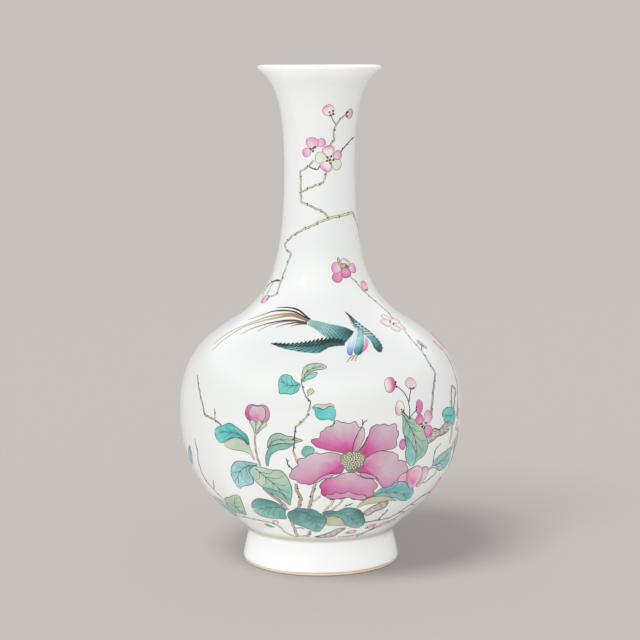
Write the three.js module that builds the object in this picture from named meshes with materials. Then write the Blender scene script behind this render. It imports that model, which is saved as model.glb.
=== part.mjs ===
// A porcelain bottle vase: five thrown sections, stacked rim to rim and luted together with slip.
// Millimetres, +Z up. The foot stands on z = 0 and the axis of the pot is the Z axis.

import * as THREE from 'three';

// Heights of the stretches of the outside, from the table up
const FOOT_HEIGHT = 23.4; // table to the crease under the bowl
const BOWL_HEIGHT = 99.6; // crease to the widest girth
const SHOULDER_HEIGHT = 79.7; // girth to where the shoulder turns into the neck's sweep
const NECK_HEIGHT = 107.8; // start of the sweep to the narrowest part of the neck
const MOUTH_HEIGHT = 79.1; // narrowest part of the neck to the crown of the lip

// Outside radii at the ends of those stretches
const FOOT_RADIUS = 61.5;
const CREASE_RADIUS = 56.5;
const GIRTH_RADIUS = 110.4;
const TURN_RADIUS = 54.1;
const NECK_RADIUS = 27.2;
const LIP_RADIUS = 47.8;

// Foot ring
const BEVEL_HEIGHT = 2.8; // bare edge at the table, outside
const BEVEL_WIDTH = 1.2;
const RIM_WIDTH = 6; // flat rim that stands on the table
const FOOT_WALL = 7; // at the crease

// Thrown wall, thicker low down than at the mouth
const WALL_LOW = 6;
const WALL_HIGH = 3.5;
const FLOOR_THICKNESS = 8;
const FLOOR_FILLET = 14;
const LIP_DROP = 2.2; // crown of the lip down to its widest edge

// Slip joints
const SLIP = 1.2; // thickness of the slip between two rims
const RIDGE = 0.8; // slip squeezed out past the inside of the wall
const NECK_JOINT_RISE = 23.5; // turn of the shoulder up to the joint at the root of the neck

// Slopes of the outside above the horizontal, in degrees
const FOOT_SLOPE = 80.7; // leaning in above the bevel
const BOWL_SLOPE = 52.7; // leaving the crease
const TURN_SLOPE = 45.5; // at the turn of the shoulder
const LIP_SLOPE = 36.7; // arriving under the lip

// Shape of each stretch: how far its curve holds its first and its last slope, as a share of its height
const BOWL_HOLD = [0.276, 0.662];
const SHOULDER_HOLD = [0.714, 0.304];
const NECK_HOLD = [0.147, 0.749];
const MOUTH_HOLD = [0.654, 0.236];
const FOOT_HOLD = 0.467;

// Fineness: facets around, and steps along each stretch
const FACETS = 48;
const STEPS = { foot: 5, bowl: 12, shoulder: 11, neck: 12, mouth: 11, lip: 8, fillet: 4 };

// Heights of the joints and of the top
const bowlBase = FOOT_HEIGHT + SLIP;
const girth = FOOT_HEIGHT + BOWL_HEIGHT;
const turn = girth + SHOULDER_HEIGHT;
const neckJoint = turn + NECK_JOINT_RISE;
const waist = turn + NECK_HEIGHT;
const top = waist + MOUTH_HEIGHT;
const lipEdge = top - LIP_DROP;
const floor = bowlBase + FLOOR_THICKNESS;

// Points are (radius, height) pairs.
const at = (radius, height) => new THREE.Vector2(radius, height);

// A point reached from start by going a distance at a slope above the outward horizontal.
function along(start, slope, distance) {
  const angle = THREE.MathUtils.degToRad(slope);
  return at(start.x + distance * Math.cos(angle), start.y + distance * Math.sin(angle));
}

// A cubic curve that leaves start and reaches end at the given slopes, held for shares of its height.
function stretch(start, startSlope, end, endSlope, hold) {
  const height = end.y - start.y;
  const first = along(start, startSlope, hold[0] * height);
  const last = along(end, endSlope + 180, hold[1] * height);
  return new THREE.CubicBezierCurve(start, first, last, end);
}

// Outside of the pot above the crease, in four smooth stretches
const creasePoint = at(CREASE_RADIUS, bowlBase);
const girthPoint = at(GIRTH_RADIUS, girth);
const turnPoint = at(TURN_RADIUS, turn);
const neckPoint = at(NECK_RADIUS, waist);
const lipPoint = at(LIP_RADIUS, lipEdge);
const UPRIGHT = 90;
const INWARD = 180;
const stretches = [
  [stretch(creasePoint, BOWL_SLOPE, girthPoint, UPRIGHT, BOWL_HOLD), STEPS.bowl],
  [stretch(girthPoint, UPRIGHT, turnPoint, INWARD - TURN_SLOPE, SHOULDER_HOLD), STEPS.shoulder],
  [stretch(turnPoint, INWARD - TURN_SLOPE, neckPoint, UPRIGHT, NECK_HOLD), STEPS.neck],
  [stretch(neckPoint, UPRIGHT, lipPoint, LIP_SLOPE, MOUTH_HOLD), STEPS.mouth],
];

// Wall thickness at a height: it thins steadily from the crease to the lip.
function wallAt(height) {
  const share = (height - bowlBase) / (lipEdge - bowlBase);
  return THREE.MathUtils.lerp(WALL_LOW, WALL_HIGH, share);
}

// The outside, and the inside set in from it by the wall, square to the outside.
const outside = [];
const inside = [];
for (const [curve, steps] of stretches) {
  const first = outside.length === 0 ? 0 : 1;
  for (let step = first; step <= steps; step += 1) {
    const point = curve.getPoint(step / steps);
    const tangent = curve.getTangent(step / steps);
    const inwards = at(-tangent.y, tangent.x);
    outside.push(point);
    inside.push(point.clone().addScaledVector(inwards, wallAt(point.y)));
  }
}

// Radius of a line of points at a height, between the two points around it.
function radiusAt(line, height) {
  const above = line.findIndex((point) => point.y >= height);
  if (above <= 0) return above === 0 ? line[0].x : line[line.length - 1].x;
  const low = line[above - 1];
  const high = line[above];
  return THREE.MathUtils.lerp(low.x, high.x, (height - low.y) / (high.y - low.y));
}

// The part of a line of points between two heights, with its ends cut square at both.
function between(line, low, high) {
  const middle = line.filter((point) => point.y > low && point.y < high);
  return [at(radiusAt(line, low), low), ...middle, at(radiusAt(line, high), high)];
}

// Materials: bare white porcelain paste for the sections, a greyer paste for the slip
const porcelain = (roughness) =>
  new THREE.MeshStandardMaterial({ color: 0xf1f0ea, roughness, metalness: 0 });
const slipPaste = () => new THREE.MeshStandardMaterial({ color: 0xd9d6cc, roughness: 0.7, metalness: 0 });

// Carries an outline of (radius, height) points once around the axis, as one closed solid.
function turned(name, outline, material) {
  const geometry = new THREE.LatheGeometry(outline, FACETS);
  geometry.rotateX(Math.PI / 2);
  const mesh = new THREE.Mesh(geometry, material);
  mesh.name = name;
  return mesh;
}

// A section of wall between two joints, closed on itself.
function wallSection(name, low, high) {
  const outer = between(outside, low, high);
  const inner = between(inside, low, high).reverse();
  return turned(name, [...outer, ...inner, outer[0]], porcelain(0.25));
}

// The ring of slip between two rims, with the ridge that it leaves inside the pot.
function slipJoint(name, height) {
  const low = height - SLIP / 2;
  const high = height + SLIP / 2;
  const outer = between(outside, low, high);
  const ridge = at(radiusAt(inside, height) - RIDGE, height);
  const inner = [at(radiusAt(inside, high), high), ridge, at(radiusAt(inside, low), low)];
  return turned(name, [...outer, ...inner, outer[0]], slipPaste());
}

// Foot ring: a bare bevel at the table, a side that leans in to the crease, and a tapered inner wall.
const footInside = CREASE_RADIUS - FOOT_WALL;
function footRing() {
  const bevelFoot = at(FOOT_RADIUS - BEVEL_WIDTH, 0);
  const rimInside = at(bevelFoot.x - RIM_WIDTH, 0);
  const bevelTop = at(FOOT_RADIUS, BEVEL_HEIGHT);
  const crease = at(CREASE_RADIUS, FOOT_HEIGHT);
  const lean = along(bevelTop, INWARD - FOOT_SLOPE, FOOT_HOLD * (FOOT_HEIGHT - BEVEL_HEIGHT));
  const side = new THREE.QuadraticBezierCurve(bevelTop, lean, crease).getPoints(STEPS.foot);
  const innerTop = at(footInside, FOOT_HEIGHT);
  return turned('foot_ring', [rimInside, bevelFoot, ...side, innerTop, rimInside], porcelain(0.45));
}

// Slip between the foot ring and the underside of the bowl, with its ridge inside the foot.
function footSlipJoint() {
  const outer = [at(CREASE_RADIUS, FOOT_HEIGHT), at(CREASE_RADIUS, bowlBase)];
  const ridge = at(footInside - RIDGE, FOOT_HEIGHT + SLIP / 2);
  const inner = [at(footInside, bowlBase), ridge, at(footInside, FOOT_HEIGHT)];
  return turned('foot_slip_joint', [...outer, ...inner, outer[0]], slipPaste());
}

// Bowl: flat underside, full round wall, and a floor that runs into the wall through a fillet.
function bowl() {
  const rim = girth - SLIP / 2;
  const outer = between(outside, bowlBase, rim);
  const filletTop = floor + FLOOR_FILLET;
  const inner = between(inside, filletTop, rim).reverse();
  const corner = at(radiusAt(inside, floor), floor);
  const filletFoot = at(corner.x - FLOOR_FILLET, floor);
  const fillet = new THREE.QuadraticBezierCurve(inner[inner.length - 1], corner, filletFoot);
  const outline = [at(0, bowlBase), ...outer, ...inner, ...fillet.getPoints(STEPS.fillet).slice(1), at(0, floor)];
  return turned('bowl', outline, porcelain(0.25));
}

// Mouth: the flare above the waist of the neck, closed by a crowned lip.
function mouth() {
  const outer = between(outside, waist + SLIP / 2, lipEdge);
  const inner = between(inside, waist + SLIP / 2, lipEdge).reverse();
  // A cubic whose handles rise four thirds of its crown passes through the crown at its middle.
  const rise = (LIP_DROP * 4) / 3;
  const lipOuter = outer[outer.length - 1];
  const lipInner = inner[0];
  const crown = new THREE.CubicBezierCurve(
    lipOuter,
    along(lipOuter, UPRIGHT, rise),
    along(lipInner, UPRIGHT, rise),
    lipInner,
  );
  const lip = crown.getPoints(STEPS.lip).slice(1, -1);
  return turned('mouth', [...outer, ...lip, ...inner, outer[0]], porcelain(0.25));
}

const vase = new THREE.Group();
vase.name = 'bottle_vase';
vase.add(
  footRing(),
  footSlipJoint(),
  bowl(),
  slipJoint('girth_slip_joint', girth),
  wallSection('shoulder', girth + SLIP / 2, neckJoint - SLIP / 2),
  slipJoint('neck_root_slip_joint', neckJoint),
  wallSection('neck', neckJoint + SLIP / 2, waist - SLIP / 2),
  slipJoint('neck_slip_joint', waist),
  mouth(),
);

export default vase;
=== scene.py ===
"""Dress a packed porcelain bottle vase with its glaze, its overglaze painting and a studio stage.

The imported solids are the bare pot. Every piece added here is a thin coat on them: a clear glaze outside,
inside and under the base, and films of enamel for the flowers, leaves, branches and bird.
The painting is laid out in wall coordinates: degrees round the axis, counted from the front towards the
right, and millimetres of rise along the glazed wall above the crease of the foot.
"""

import math
from collections import namedtuple

import bpy
import numpy as np
from mathutils import Matrix, Vector


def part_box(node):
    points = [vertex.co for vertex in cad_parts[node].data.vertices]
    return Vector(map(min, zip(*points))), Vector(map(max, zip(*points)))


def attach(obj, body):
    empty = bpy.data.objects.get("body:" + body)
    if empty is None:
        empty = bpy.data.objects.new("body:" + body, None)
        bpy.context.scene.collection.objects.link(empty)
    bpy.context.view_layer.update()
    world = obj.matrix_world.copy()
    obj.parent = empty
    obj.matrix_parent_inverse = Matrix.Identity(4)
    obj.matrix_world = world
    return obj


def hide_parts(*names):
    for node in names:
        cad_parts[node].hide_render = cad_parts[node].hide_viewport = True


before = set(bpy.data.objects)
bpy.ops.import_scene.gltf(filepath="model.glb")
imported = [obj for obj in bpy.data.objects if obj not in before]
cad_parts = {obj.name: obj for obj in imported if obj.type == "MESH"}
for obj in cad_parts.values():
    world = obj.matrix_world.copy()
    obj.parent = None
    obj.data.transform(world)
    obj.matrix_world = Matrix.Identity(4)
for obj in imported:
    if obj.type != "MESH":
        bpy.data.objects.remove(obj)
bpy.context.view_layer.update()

bl_info = {
    "name": "Painted Bottle Vase",
    "version": (1, 0, 0),
    "blender": (4, 5, 0),
    "location": "View3D > Sidebar > Vase",
    "description": "Glaze, overglaze painting and studio stage for a porcelain bottle vase",
    "category": "Object",
}

MM = 0.001


def node_box(node):
    """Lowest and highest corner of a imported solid, in millimetres."""
    low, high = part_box(node)
    return np.array(low) / MM, np.array(high) / MM


def node_middle(node):
    """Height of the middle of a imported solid, in millimetres."""
    low, high = node_box(node)
    return (low[2] + high[2]) / 2


# Bare pot, in millimetres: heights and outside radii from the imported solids
FOOT_RADIUS = node_box("foot_ring")[1][0]
FOOT_TOP = node_box("foot_ring")[1][2]
CREASE_RADIUS = node_box("foot_slip_joint")[1][0]
BOWL_BASE = node_box("foot_slip_joint")[1][2]
GIRTH_RADIUS = node_box("girth_slip_joint")[1][0]
GIRTH = node_middle("girth_slip_joint")
NECK_ROOT = node_middle("neck_root_slip_joint")
NECK_RADIUS = node_box("neck_slip_joint")[1][0]
WAIST = node_middle("neck_slip_joint")
LIP_RADIUS = node_box("mouth")[1][0]
TOP = node_box("mouth")[1][2]
JOINTS = np.array((GIRTH, NECK_ROOT, WAIST))

# Bare pot: what the boxes don't tell, in millimetres and degrees above the outward horizontal
TURN_RADIUS = 54.1
TURN_DROP = 23.5
TURN = NECK_ROOT - TURN_DROP
LIP_CROWN = 2.2
LIP_EDGE = TOP - LIP_CROWN
BEVEL_HEIGHT = 2.8
BEVEL_WIDTH = 1.2
RIM_WIDTH = 6
FOOT_WALL = 7
FOOT_SLOPE = 80.7
FOOT_HOLD = 0.467
BOWL_SLOPE = 52.7
TURN_SLOPE = 45.5
LIP_SLOPE = 36.7
BOWL_HOLD = (0.276, 0.662)
SHOULDER_HOLD = (0.714, 0.304)
NECK_HOLD = (0.147, 0.749)
MOUTH_HOLD = (0.654, 0.236)
WALL_LOW = 6
WALL_HIGH = 3.5
FLOOR_THICKNESS = 8
FLOOR = BOWL_BASE + FLOOR_THICKNESS
FLOOR_FILLET = 14
RIDGE = 0.8
UPRIGHT = 90
INWARD = 180

# Biscuit foot, in millimetres: softened edges, the lean inside, and heights of scorch and of wear with a
# painted contact shadow
RIM_EASE = 0.5
RIM_LIFT = 0.15
BEVEL_EASE = (0.3, 0.7)
FOOT_LEAN = 2.4
BISCUIT_STEP = 2.5
SCORCH_RISE = (1.6, 3.0)
WEAR_AND_SHADE_RISE = (0.2, 1.3)

# Glaze coat, in millimetres
GLAZE_EDGE = 3.1
EDGE_BEAD = (0.22, -0.22)
EDGE_TUCK = (-0.1, -0.25)
CREASE_FILLET = 2.4
GLAZE_SEAT = 0.25
# Height above the crease where the pooled glaze and the painted shade in the crease are darkest
POOL_AND_SHADE_RISE = 3.2
# Heights above the crease over which the painted-lighter white gives way to the body colour
COVER_RISE = (2, 8)
LIP_FADE = 12
FOOT_STEP = 2.0
WALL_STEP = 3.0
HOLLOW_STEP = 5.0
RIDGE_STEPS = np.linspace(-2, 2, 7)
RIDGE_RISE = 0.95
RIDGE_SPREAD = 1.1
BASE_ROUND = 3
BASE_EASE = 0.3
BASE_STEP = 0.5
BASE_TUCK = 0.1

# Enamel films, in millimetres
FILM_SEAT = -0.03
FILM_LAYER = 0.03
FILM_BODY = 0.05
FILM_EDGE = 0.25
LINE_STEP = 0.8
LINE_EDGE = 0.06
EDGE_STEP = 2.2
PATCH_STEP = 1.3
RIM_STEP = 0.7 * PATCH_STEP
NARROWEST = 0.3

# Fineness of meshes: steps round the pot, a petal, a dot and a ripple, and shares left open at points
ROUND_STEPS = 208
STRETCH_STEPS = 300
EGG_STEPS = 14
DOT_STEPS = 10
RIPPLE_STEPS = 9
PINHOLE = 0.004
TIP_SHARE = 0.01

# Angles in degrees over which edges look sharp
FILM_SHARP = 50
FOOT_SHARP = 40
SWEEP_SHARP = 30


def srgb(red, green, blue):
    """Linear colour with full opacity from screen values of 0 to 255."""
    screen = np.array((red, green, blue)) / 255
    linear = np.where(screen > 0.04045, ((screen + 0.055) / 1.055) ** 2.4, screen / 12.92)
    return (*(float(value) for value in linear), 1.0)


def colour_property(name, description, red, green, blue):
    """A colour setting whose default is given in screen values."""
    return bpy.props.FloatVectorProperty(
        name=name,
        description=description,
        subtype="COLOR",
        size=4,
        min=0,
        max=1,
        default=srgb(red, green, blue),
    )


def amount_property(name, description, default, subtype="UNSIGNED", **limits):
    """A number setting that isn't below zero."""
    limits = {"min": 0, **limits}
    return bpy.props.FloatProperty(
        name=name, description=description, default=default, subtype=subtype, **limits
    )


class VaseGlazeSettings(bpy.types.PropertyGroup):
    """Sizes and colours of the glaze and of the bare foot."""

    coat: amount_property(
        "Coat", "Thickness of the glaze over the bare porcelain", 0.4 * MM,
        unit="LENGTH", min=0.3 * MM, max=1.0 * MM, precision=5,
    )
    edge_wave: amount_property(
        "Edge wave", "How far the lower edge of the glaze wanders up and down", 0.35 * MM,
        unit="LENGTH", max=1.5 * MM, precision=5,
    )
    gloss: amount_property(
        "Gloss roughness", "Roughness of the fired glaze", 0.055, "FACTOR", min=0.01, max=0.6
    )
    # White paints the foot and the lip lighter than the body: partly thinner glaze, partly painted light.
    white: colour_property("White", "Thin glaze on the foot and the lip", 252, 255, 255)
    body: colour_property("Body", "Even glaze over the body and neck", 233, 237, 236)
    # Pooled also paints the shade in the crease above the foot, besides the thicker glaze there.
    pooled: colour_property("Pooled", "Glaze where it gathers thickly", 196, 193, 181)
    # Speck also darkens the outer foot low down, as wear and a painted contact shadow.
    speck: colour_property("Speck", "Small iron specks in the glaze", 120, 100, 80)
    biscuit: colour_property("Biscuit", "Bare fired rim of the foot", 240, 222, 194)
    scorch: colour_property("Scorch", "Rust line where the glaze ends", 206, 170, 132)
    paste: colour_property("Paste", "Fired porcelain under the glaze", 238, 236, 230)


# Enamels: how strongly each is streaked, mottled and clouded, and its colours by depth of wash
Enamel = namedtuple("Enamel", "streak mottle cloud thin even full pooled")
DEPTHS = ("thin", "even", "full", "pooled")
DEPTH_WASHES = (0.0, 0.35, 0.7, 1.0)
ENAMEL_GLOSS = 0.16
ENAMELS = {
    "rose": Enamel(0.34, 0.12, 0.35, (210, 200, 205), (200, 163, 184), (202, 98, 162), (182, 42, 122)),
    "leaf": Enamel(0.22, 0.3, 0.7, (204, 210, 184), (148, 191, 173), (84, 162, 158), (52, 104, 112)),
    "branch": Enamel(0.45, 0.5, 0.2, (214, 213, 204), (188, 183, 171), (138, 124, 108), (62, 54, 46)),
    "ink": Enamel(0.3, 0.3, 0.2, (150, 138, 114), (104, 92, 74), (62, 54, 46), (26, 24, 26)),
    "feather": Enamel(0.3, 0.25, 0.5, (170, 216, 216), (96, 168, 172), (42, 102, 106), (20, 28, 32)),
    "gold": Enamel(0.3, 0.2, 0.2, (222, 202, 164), (186, 158, 112), (144, 114, 74), (88, 58, 32)),
    "sky": Enamel(0.2, 0.15, 0.2, (222, 236, 244), (158, 188, 230), (104, 138, 214), (72, 100, 190)),
    "stamen": Enamel(0.3, 0.6, 0.2, (200, 202, 166), (172, 176, 138), (138, 140, 108), (96, 96, 74)),
    "blush": Enamel(0.3, 0.2, 0.2, (233, 236, 226), (226, 196, 208), (220, 132, 184), (198, 66, 142)),
    "moss": Enamel(0.4, 0.35, 0.2, (224, 229, 203), (206, 211, 182), (150, 144, 110), (74, 68, 48)),
    "turquoise": Enamel(0.25, 0.3, 0.6, (196, 232, 222), (126, 210, 204), (74, 190, 188), (40, 128, 140)),
    "cream": Enamel(0.2, 0.15, 0.2, (226, 231, 216), (216, 222, 196), (192, 198, 164), (166, 172, 138)),
}


def enamel_property(enamel, depth):
    """A colour setting of one enamel at one depth of wash."""
    name = f"{depth.capitalize()} {enamel}"
    description = f"{enamel} enamel where its wash is {depth}"
    return colour_property(name, description, *getattr(ENAMELS[enamel], depth))


class VaseEnamelSettings(bpy.types.PropertyGroup):
    """Colours of the enamels, each from a thin wash to where it pools."""

    __annotations__ = {
        f"{enamel}_{depth}": enamel_property(enamel, depth) for enamel in ENAMELS for depth in DEPTHS
    }


class VaseStageSettings(bpy.types.PropertyGroup):
    """Studio sweep, lights and camera."""

    floor: colour_property("Floor", "Pale paper of the sweep", 108, 104, 102)
    floor_glow: colour_property("Floor glow", "Even light that comes through the paper", 119, 115, 113)
    backdrop: colour_property("Backdrop", "Paper behind the pot, lit evenly from behind", 198, 192, 189)
    key: amount_property("Key light", "Strength of the broad light from the left front", 0.53)
    key_width: amount_property(
        "Key width", "Angle that the key light spans, which softens its shading", math.radians(90),
        "ANGLE", max=math.pi,
    )
    floor_key: amount_property(
        "Floor light", "Strength of the light that falls on the sweep alone and throws the shadow", 5.75
    )
    floor_key_width: amount_property(
        "Floor light width", "Angle that the light on the sweep spans, which softens the shadow",
        math.radians(27), "ANGLE", max=math.pi,
    )
    glint: amount_property(
        "Glint", "Power of the small snooted light that glints at the root of the neck", 0.3, unit="POWER"
    )
    under: amount_property(
        "Under light", "Strength of the broad light that comes up through the paper of the sweep", 1.24
    )
    fill_low: amount_property("Low fill", "Strength of the even light from near the horizon", 1.6)
    fill_high: amount_property("High fill", "Strength of the even light from overhead", 0.55)
    lens: amount_property("Lens", "Focal length of the camera", 105.75, unit="CAMERA", min=1)


# Stage, in metres, degrees and shares of the way up the sky, with the sensor in millimetres
CAMERA_PLACE = (0, -1.466, 0.390)
CAMERA_DROP = 7.74
CAMERA_ROLL = 0.19
SENSOR_WIDTH = 36
KEY_FROM = (-0.40, -0.88, 0.25)
SWEEP_LIGHT_FROM = (-0.326, -0.418, 0.848)
UNDER_FROM = (-0.25, -0.55, -0.80)
UNDER_WIDTH = 120
GLINT_FROM = (-0.549, -0.588, 0.594)
GLINT_AT = (-0.0126, -0.0369, 0.2251)
GLINT_DISTANCE = 0.3
GLINT_RADIUS = 0.036
GLINT_CONE = 12
GLINT_BLEND = 0.6
SKY_EDGE = 0.24
SKY_PEAK = 0.55
SKY_START = 0.56
BACKDROP_START = 1.4
FLOOR_REACH = 3.5
FLOOR_STOPS = (0, 0.5, 1.2)
SWEEP_RADIUS = 0.7
SWEEP_TOP = 1.25
SWEEP_THICKNESS = 0.1
SWEEP_STEPS = 16


# Curves

def bezier(first, second, third, last, steps):
    """Cubic curve: the four points weighted by the cubic Bernstein shares at equal parameter steps."""
    t = np.linspace(0, 1, steps)[:, None]
    s = 1 - t
    return s**3 * first + 3 * s * s * t * second + 3 * s * t * t * third + t**3 * last


def step_along(start, slope, distance):
    """Point reached from a (radius, height) point by going a distance at a slope in degrees."""
    angle = math.radians(slope)
    return np.array((start[0] + distance * math.cos(angle), start[1] + distance * math.sin(angle)))


def stretch(start, start_slope, end, end_slope, hold):
    """One stretch of the outside: a cubic whose handles follow its end slopes for shares of its rise."""
    rise = end[1] - start[1]
    first = step_along(start, start_slope, hold[0] * rise)
    last = step_along(end, end_slope + 180, hold[1] * rise)
    return bezier(np.array(start), first, last, np.array(end), STRETCH_STEPS)


def fillet(before, corner, after, steps):
    """Quadratic curve that rounds a corner between two points."""
    t = np.linspace(0, 1, steps)[:, None]
    return (1 - t) ** 2 * before + 2 * t * (1 - t) * corner + t * t * after


def run_of(line):
    """Length along a line of points up to each point."""
    return np.concatenate(([0], np.cumsum(np.hypot(*np.diff(line, axis=0).T))))


def even_points(line, count):
    """The same line of points, resampled at a count of equal lengths."""
    run = run_of(line)
    place = np.linspace(0, run[-1], count)
    return np.stack([np.interp(place, run, column) for column in line.T], axis=1)


def spaced(line, gap):
    """The same line of points, resampled about a gap apart."""
    return even_points(line, max(2, int(round(run_of(line)[-1] / gap)) + 1))


def curve_at(curve, share):
    """Points of a curve at shares of its length."""
    run = run_of(curve)
    return np.stack([np.interp(share * run[-1], run, column) for column in curve.T], axis=1)


def right_hand(line):
    """Unit normals on the right-hand side of a line of points."""
    ahead = np.gradient(line, axis=0)
    ahead /= np.hypot(*ahead.T)[:, None]
    return np.stack((ahead[:, 1], -ahead[:, 0]), axis=1)


def smooth_line(points, closed=False, per_point=14):
    """Smooth curve through points: cubic Hermite pieces over steps of each chord's square root."""
    points = np.asarray(points, float)
    if closed:
        points = np.concatenate((points[-2:], points, points[:3]))
    knot = run_of(points)
    gaps = np.sqrt(np.maximum(np.diff(knot), 1e-6))
    knot = np.concatenate(([0], np.cumsum(gaps)))
    tangent = np.gradient(points, knot, axis=0)
    begin, end = (knot[2], knot[-3]) if closed else (knot[0], knot[-1])
    t = np.linspace(begin, end, per_point * len(points))
    i = np.clip(np.searchsorted(knot, t, side="right") - 1, 0, len(points) - 2)
    step = gaps[i][:, None]
    x = (t - knot[i])[:, None] / step
    level = (1 + 2 * x) * (1 - x) ** 2 * points[i] + x * x * (3 - 2 * x) * points[i + 1]
    return level + step * (x * (1 - x) ** 2 * tangent[i] - x * x * (1 - x) * tangent[i + 1])


def crooked_line(points, crook):
    """Line that keeps its corners almost sharp, with a small fixed wander of three sines across it."""
    line = spaced(np.asarray(points, float), LINE_STEP)
    inner = (line[:-2] + 2 * line[1:-1] + line[2:]) / 4
    line = np.concatenate((line[:1], inner, line[-1:]))
    run = run_of(line)
    phase = points[0][0] + 1.7 * points[0][1]
    wander = np.sin(0.55 * run + phase) + 0.6 * np.sin(1.3 * run + 2 * phase)
    wander = wander + 0.35 * np.sin(2.9 * run + phase)
    fade = np.clip(np.minimum(run, run[-1] - run) / 3, 0, 1)
    return line + (crook * fade * wander)[:, None] * right_hand(line)


# Walls of the pot

def outside_line():
    """Outside of the bare pot from the crease to the lip edge: four stretches end to end."""
    crease = (CREASE_RADIUS, BOWL_BASE)
    girth = (GIRTH_RADIUS, GIRTH)
    turn = (TURN_RADIUS, TURN)
    waist = (NECK_RADIUS, WAIST)
    lip = (LIP_RADIUS, LIP_EDGE)
    pieces = (
        stretch(crease, BOWL_SLOPE, girth, UPRIGHT, BOWL_HOLD),
        stretch(girth, UPRIGHT, turn, INWARD - TURN_SLOPE, SHOULDER_HOLD)[1:],
        stretch(turn, INWARD - TURN_SLOPE, waist, UPRIGHT, NECK_HOLD)[1:],
        stretch(waist, UPRIGHT, lip, LIP_SLOPE, MOUTH_HOLD)[1:],
    )
    return np.concatenate(pieces)


def inside_line(outside):
    """Inside of the pot: the outside set in by a wall that thins steadily from crease to lip."""
    share = (outside[:, 1] - BOWL_BASE) / (LIP_EDGE - BOWL_BASE)
    wall = WALL_LOW + (WALL_HIGH - WALL_LOW) * share
    return outside - wall[:, None] * right_hand(outside)


def foot_side():
    """Outside of the foot from its bevel to the crease: a quadratic that starts at the foot slope."""
    start = np.array((FOOT_RADIUS, BEVEL_HEIGHT))
    end = np.array((CREASE_RADIUS, FOOT_TOP))
    lean = step_along(start, INWARD - FOOT_SLOPE, FOOT_HOLD * (FOOT_TOP - BEVEL_HEIGHT))
    return fillet(start, lean, end, steps=80)


Wall = namedtuple("Wall", "rise radius height normal")


def glazed_wall(coat):
    """Face of the glaze above the crease: the outside set out by the coat, with its length and normals."""
    outside = outside_line()
    normal = right_hand(outside)
    face = outside + coat / MM * normal
    return Wall(run_of(face), face[:, 0], face[:, 1], normal)


# Meshes

def mesh_object(name, points, quads, trios):
    """Object at the origin from points in metres and arrays of four-sided and three-sided faces."""
    loops = np.concatenate((quads.ravel(), trios.ravel())).astype(np.int32)
    starts = np.concatenate((np.arange(len(quads)) * 4, quads.size + np.arange(len(trios)) * 3))
    mesh = bpy.data.meshes.new(name)
    mesh.vertices.add(len(points))
    mesh.vertices.foreach_set("co", np.ascontiguousarray(points, np.float32).ravel())
    mesh.loops.add(len(loops))
    mesh.loops.foreach_set("vertex_index", loops)
    mesh.polygons.add(len(starts))
    mesh.polygons.foreach_set("loop_start", starts.astype(np.int32))
    mesh.polygons.foreach_set("use_smooth", np.ones(len(starts), bool))
    mesh.update(calc_edges=True)
    if mesh.validate(verbose=False):
        raise ValueError(f"{name} has faces that share a point or an edge wrongly")
    made = bpy.data.objects.new(name, mesh)
    bpy.context.scene.collection.objects.link(made)
    return made


def sharpen(made, degrees):
    """Let edges look sharp where faces meet at more than an angle."""
    made.data.set_sharp_from_angle(angle=math.radians(degrees))


def turned(name, profile, shift=None, closed=False):
    """Profile of (radius, height) carried once round the axis.

    A closed profile makes a ring. An open one starts and ends on the axis, where fans close it.
    The shift is a height added at each angle and profile point. Millimetres come in, metres go out.
    """
    around = np.arange(ROUND_STEPS) * (2 * math.pi / ROUND_STEPS)
    ring = profile if closed else profile[1:-1]
    radius = np.broadcast_to(ring[:, 0], (ROUND_STEPS, len(ring)))
    height = np.broadcast_to(ring[:, 1], radius.shape)
    if shift is not None:
        height = height + shift(around[:, None], ring[None, :, 1])
    across, deep = radius * np.sin(around)[:, None], -radius * np.cos(around)[:, None]
    points = np.stack((across, deep, height), axis=-1).reshape(-1, 3)
    place = np.arange(len(points)).reshape(radius.shape)
    beside = np.roll(place, -1, axis=0)
    if closed:
        faces = (place, beside, np.roll(beside, -1, axis=1), np.roll(place, -1, axis=1))
        trios = np.zeros((0, 3), int)
    else:
        faces = (place[:, :-1], beside[:, :-1], beside[:, 1:], place[:, 1:])
        poles = np.array(((0, 0, profile[0, 1]), (0, 0, profile[-1, 1])))
        first, last = len(points), len(points) + 1
        start_fan = np.stack((np.full(ROUND_STEPS, first), beside[:, 0], place[:, 0]), axis=-1)
        end_fan = np.stack((np.full(ROUND_STEPS, last), place[:, -1], beside[:, -1]), axis=-1)
        trios = np.concatenate((start_fan, end_fan))
        points = np.concatenate((points, poles))
    return mesh_object(name, points * MM, np.stack(faces, axis=-1).reshape(-1, 4), trios)


# Materials

def feed(tree, node, inputs):
    """Fill named inputs of a node with values or links."""
    for name, value in inputs.items():
        if isinstance(value, bpy.types.NodeSocket):
            tree.links.new(value, node.inputs[name])
        else:
            node.inputs[name].default_value = value


def put(tree, kind, inputs=None, **settings):
    """Add a node, give it its settings, and fill its named inputs."""
    made = tree.nodes.new(kind)
    for name, value in settings.items():
        setattr(made, name, value)
    feed(tree, made, inputs or {})
    return made


def noise(tree, place, scale, detail=3.0, roughness=0.5):
    """Fractal noise at a place, as its value socket."""
    inputs = {"Vector": place, "Scale": scale, "Detail": detail, "Roughness": roughness}
    return put(tree, "ShaderNodeTexNoise", inputs).outputs["Fac"]


def reach(tree, value, low, high, to_low=0.0, to_high=1.0):
    """A value carried smoothly from one range to another and held at its ends."""
    made = put(
        tree,
        "ShaderNodeMapRange",
        {"Value": value, "From Min": low, "From Max": high, "To Min": to_low, "To Max": to_high},
        interpolation_type="SMOOTHSTEP",
    )
    return made.outputs["Result"]


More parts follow.
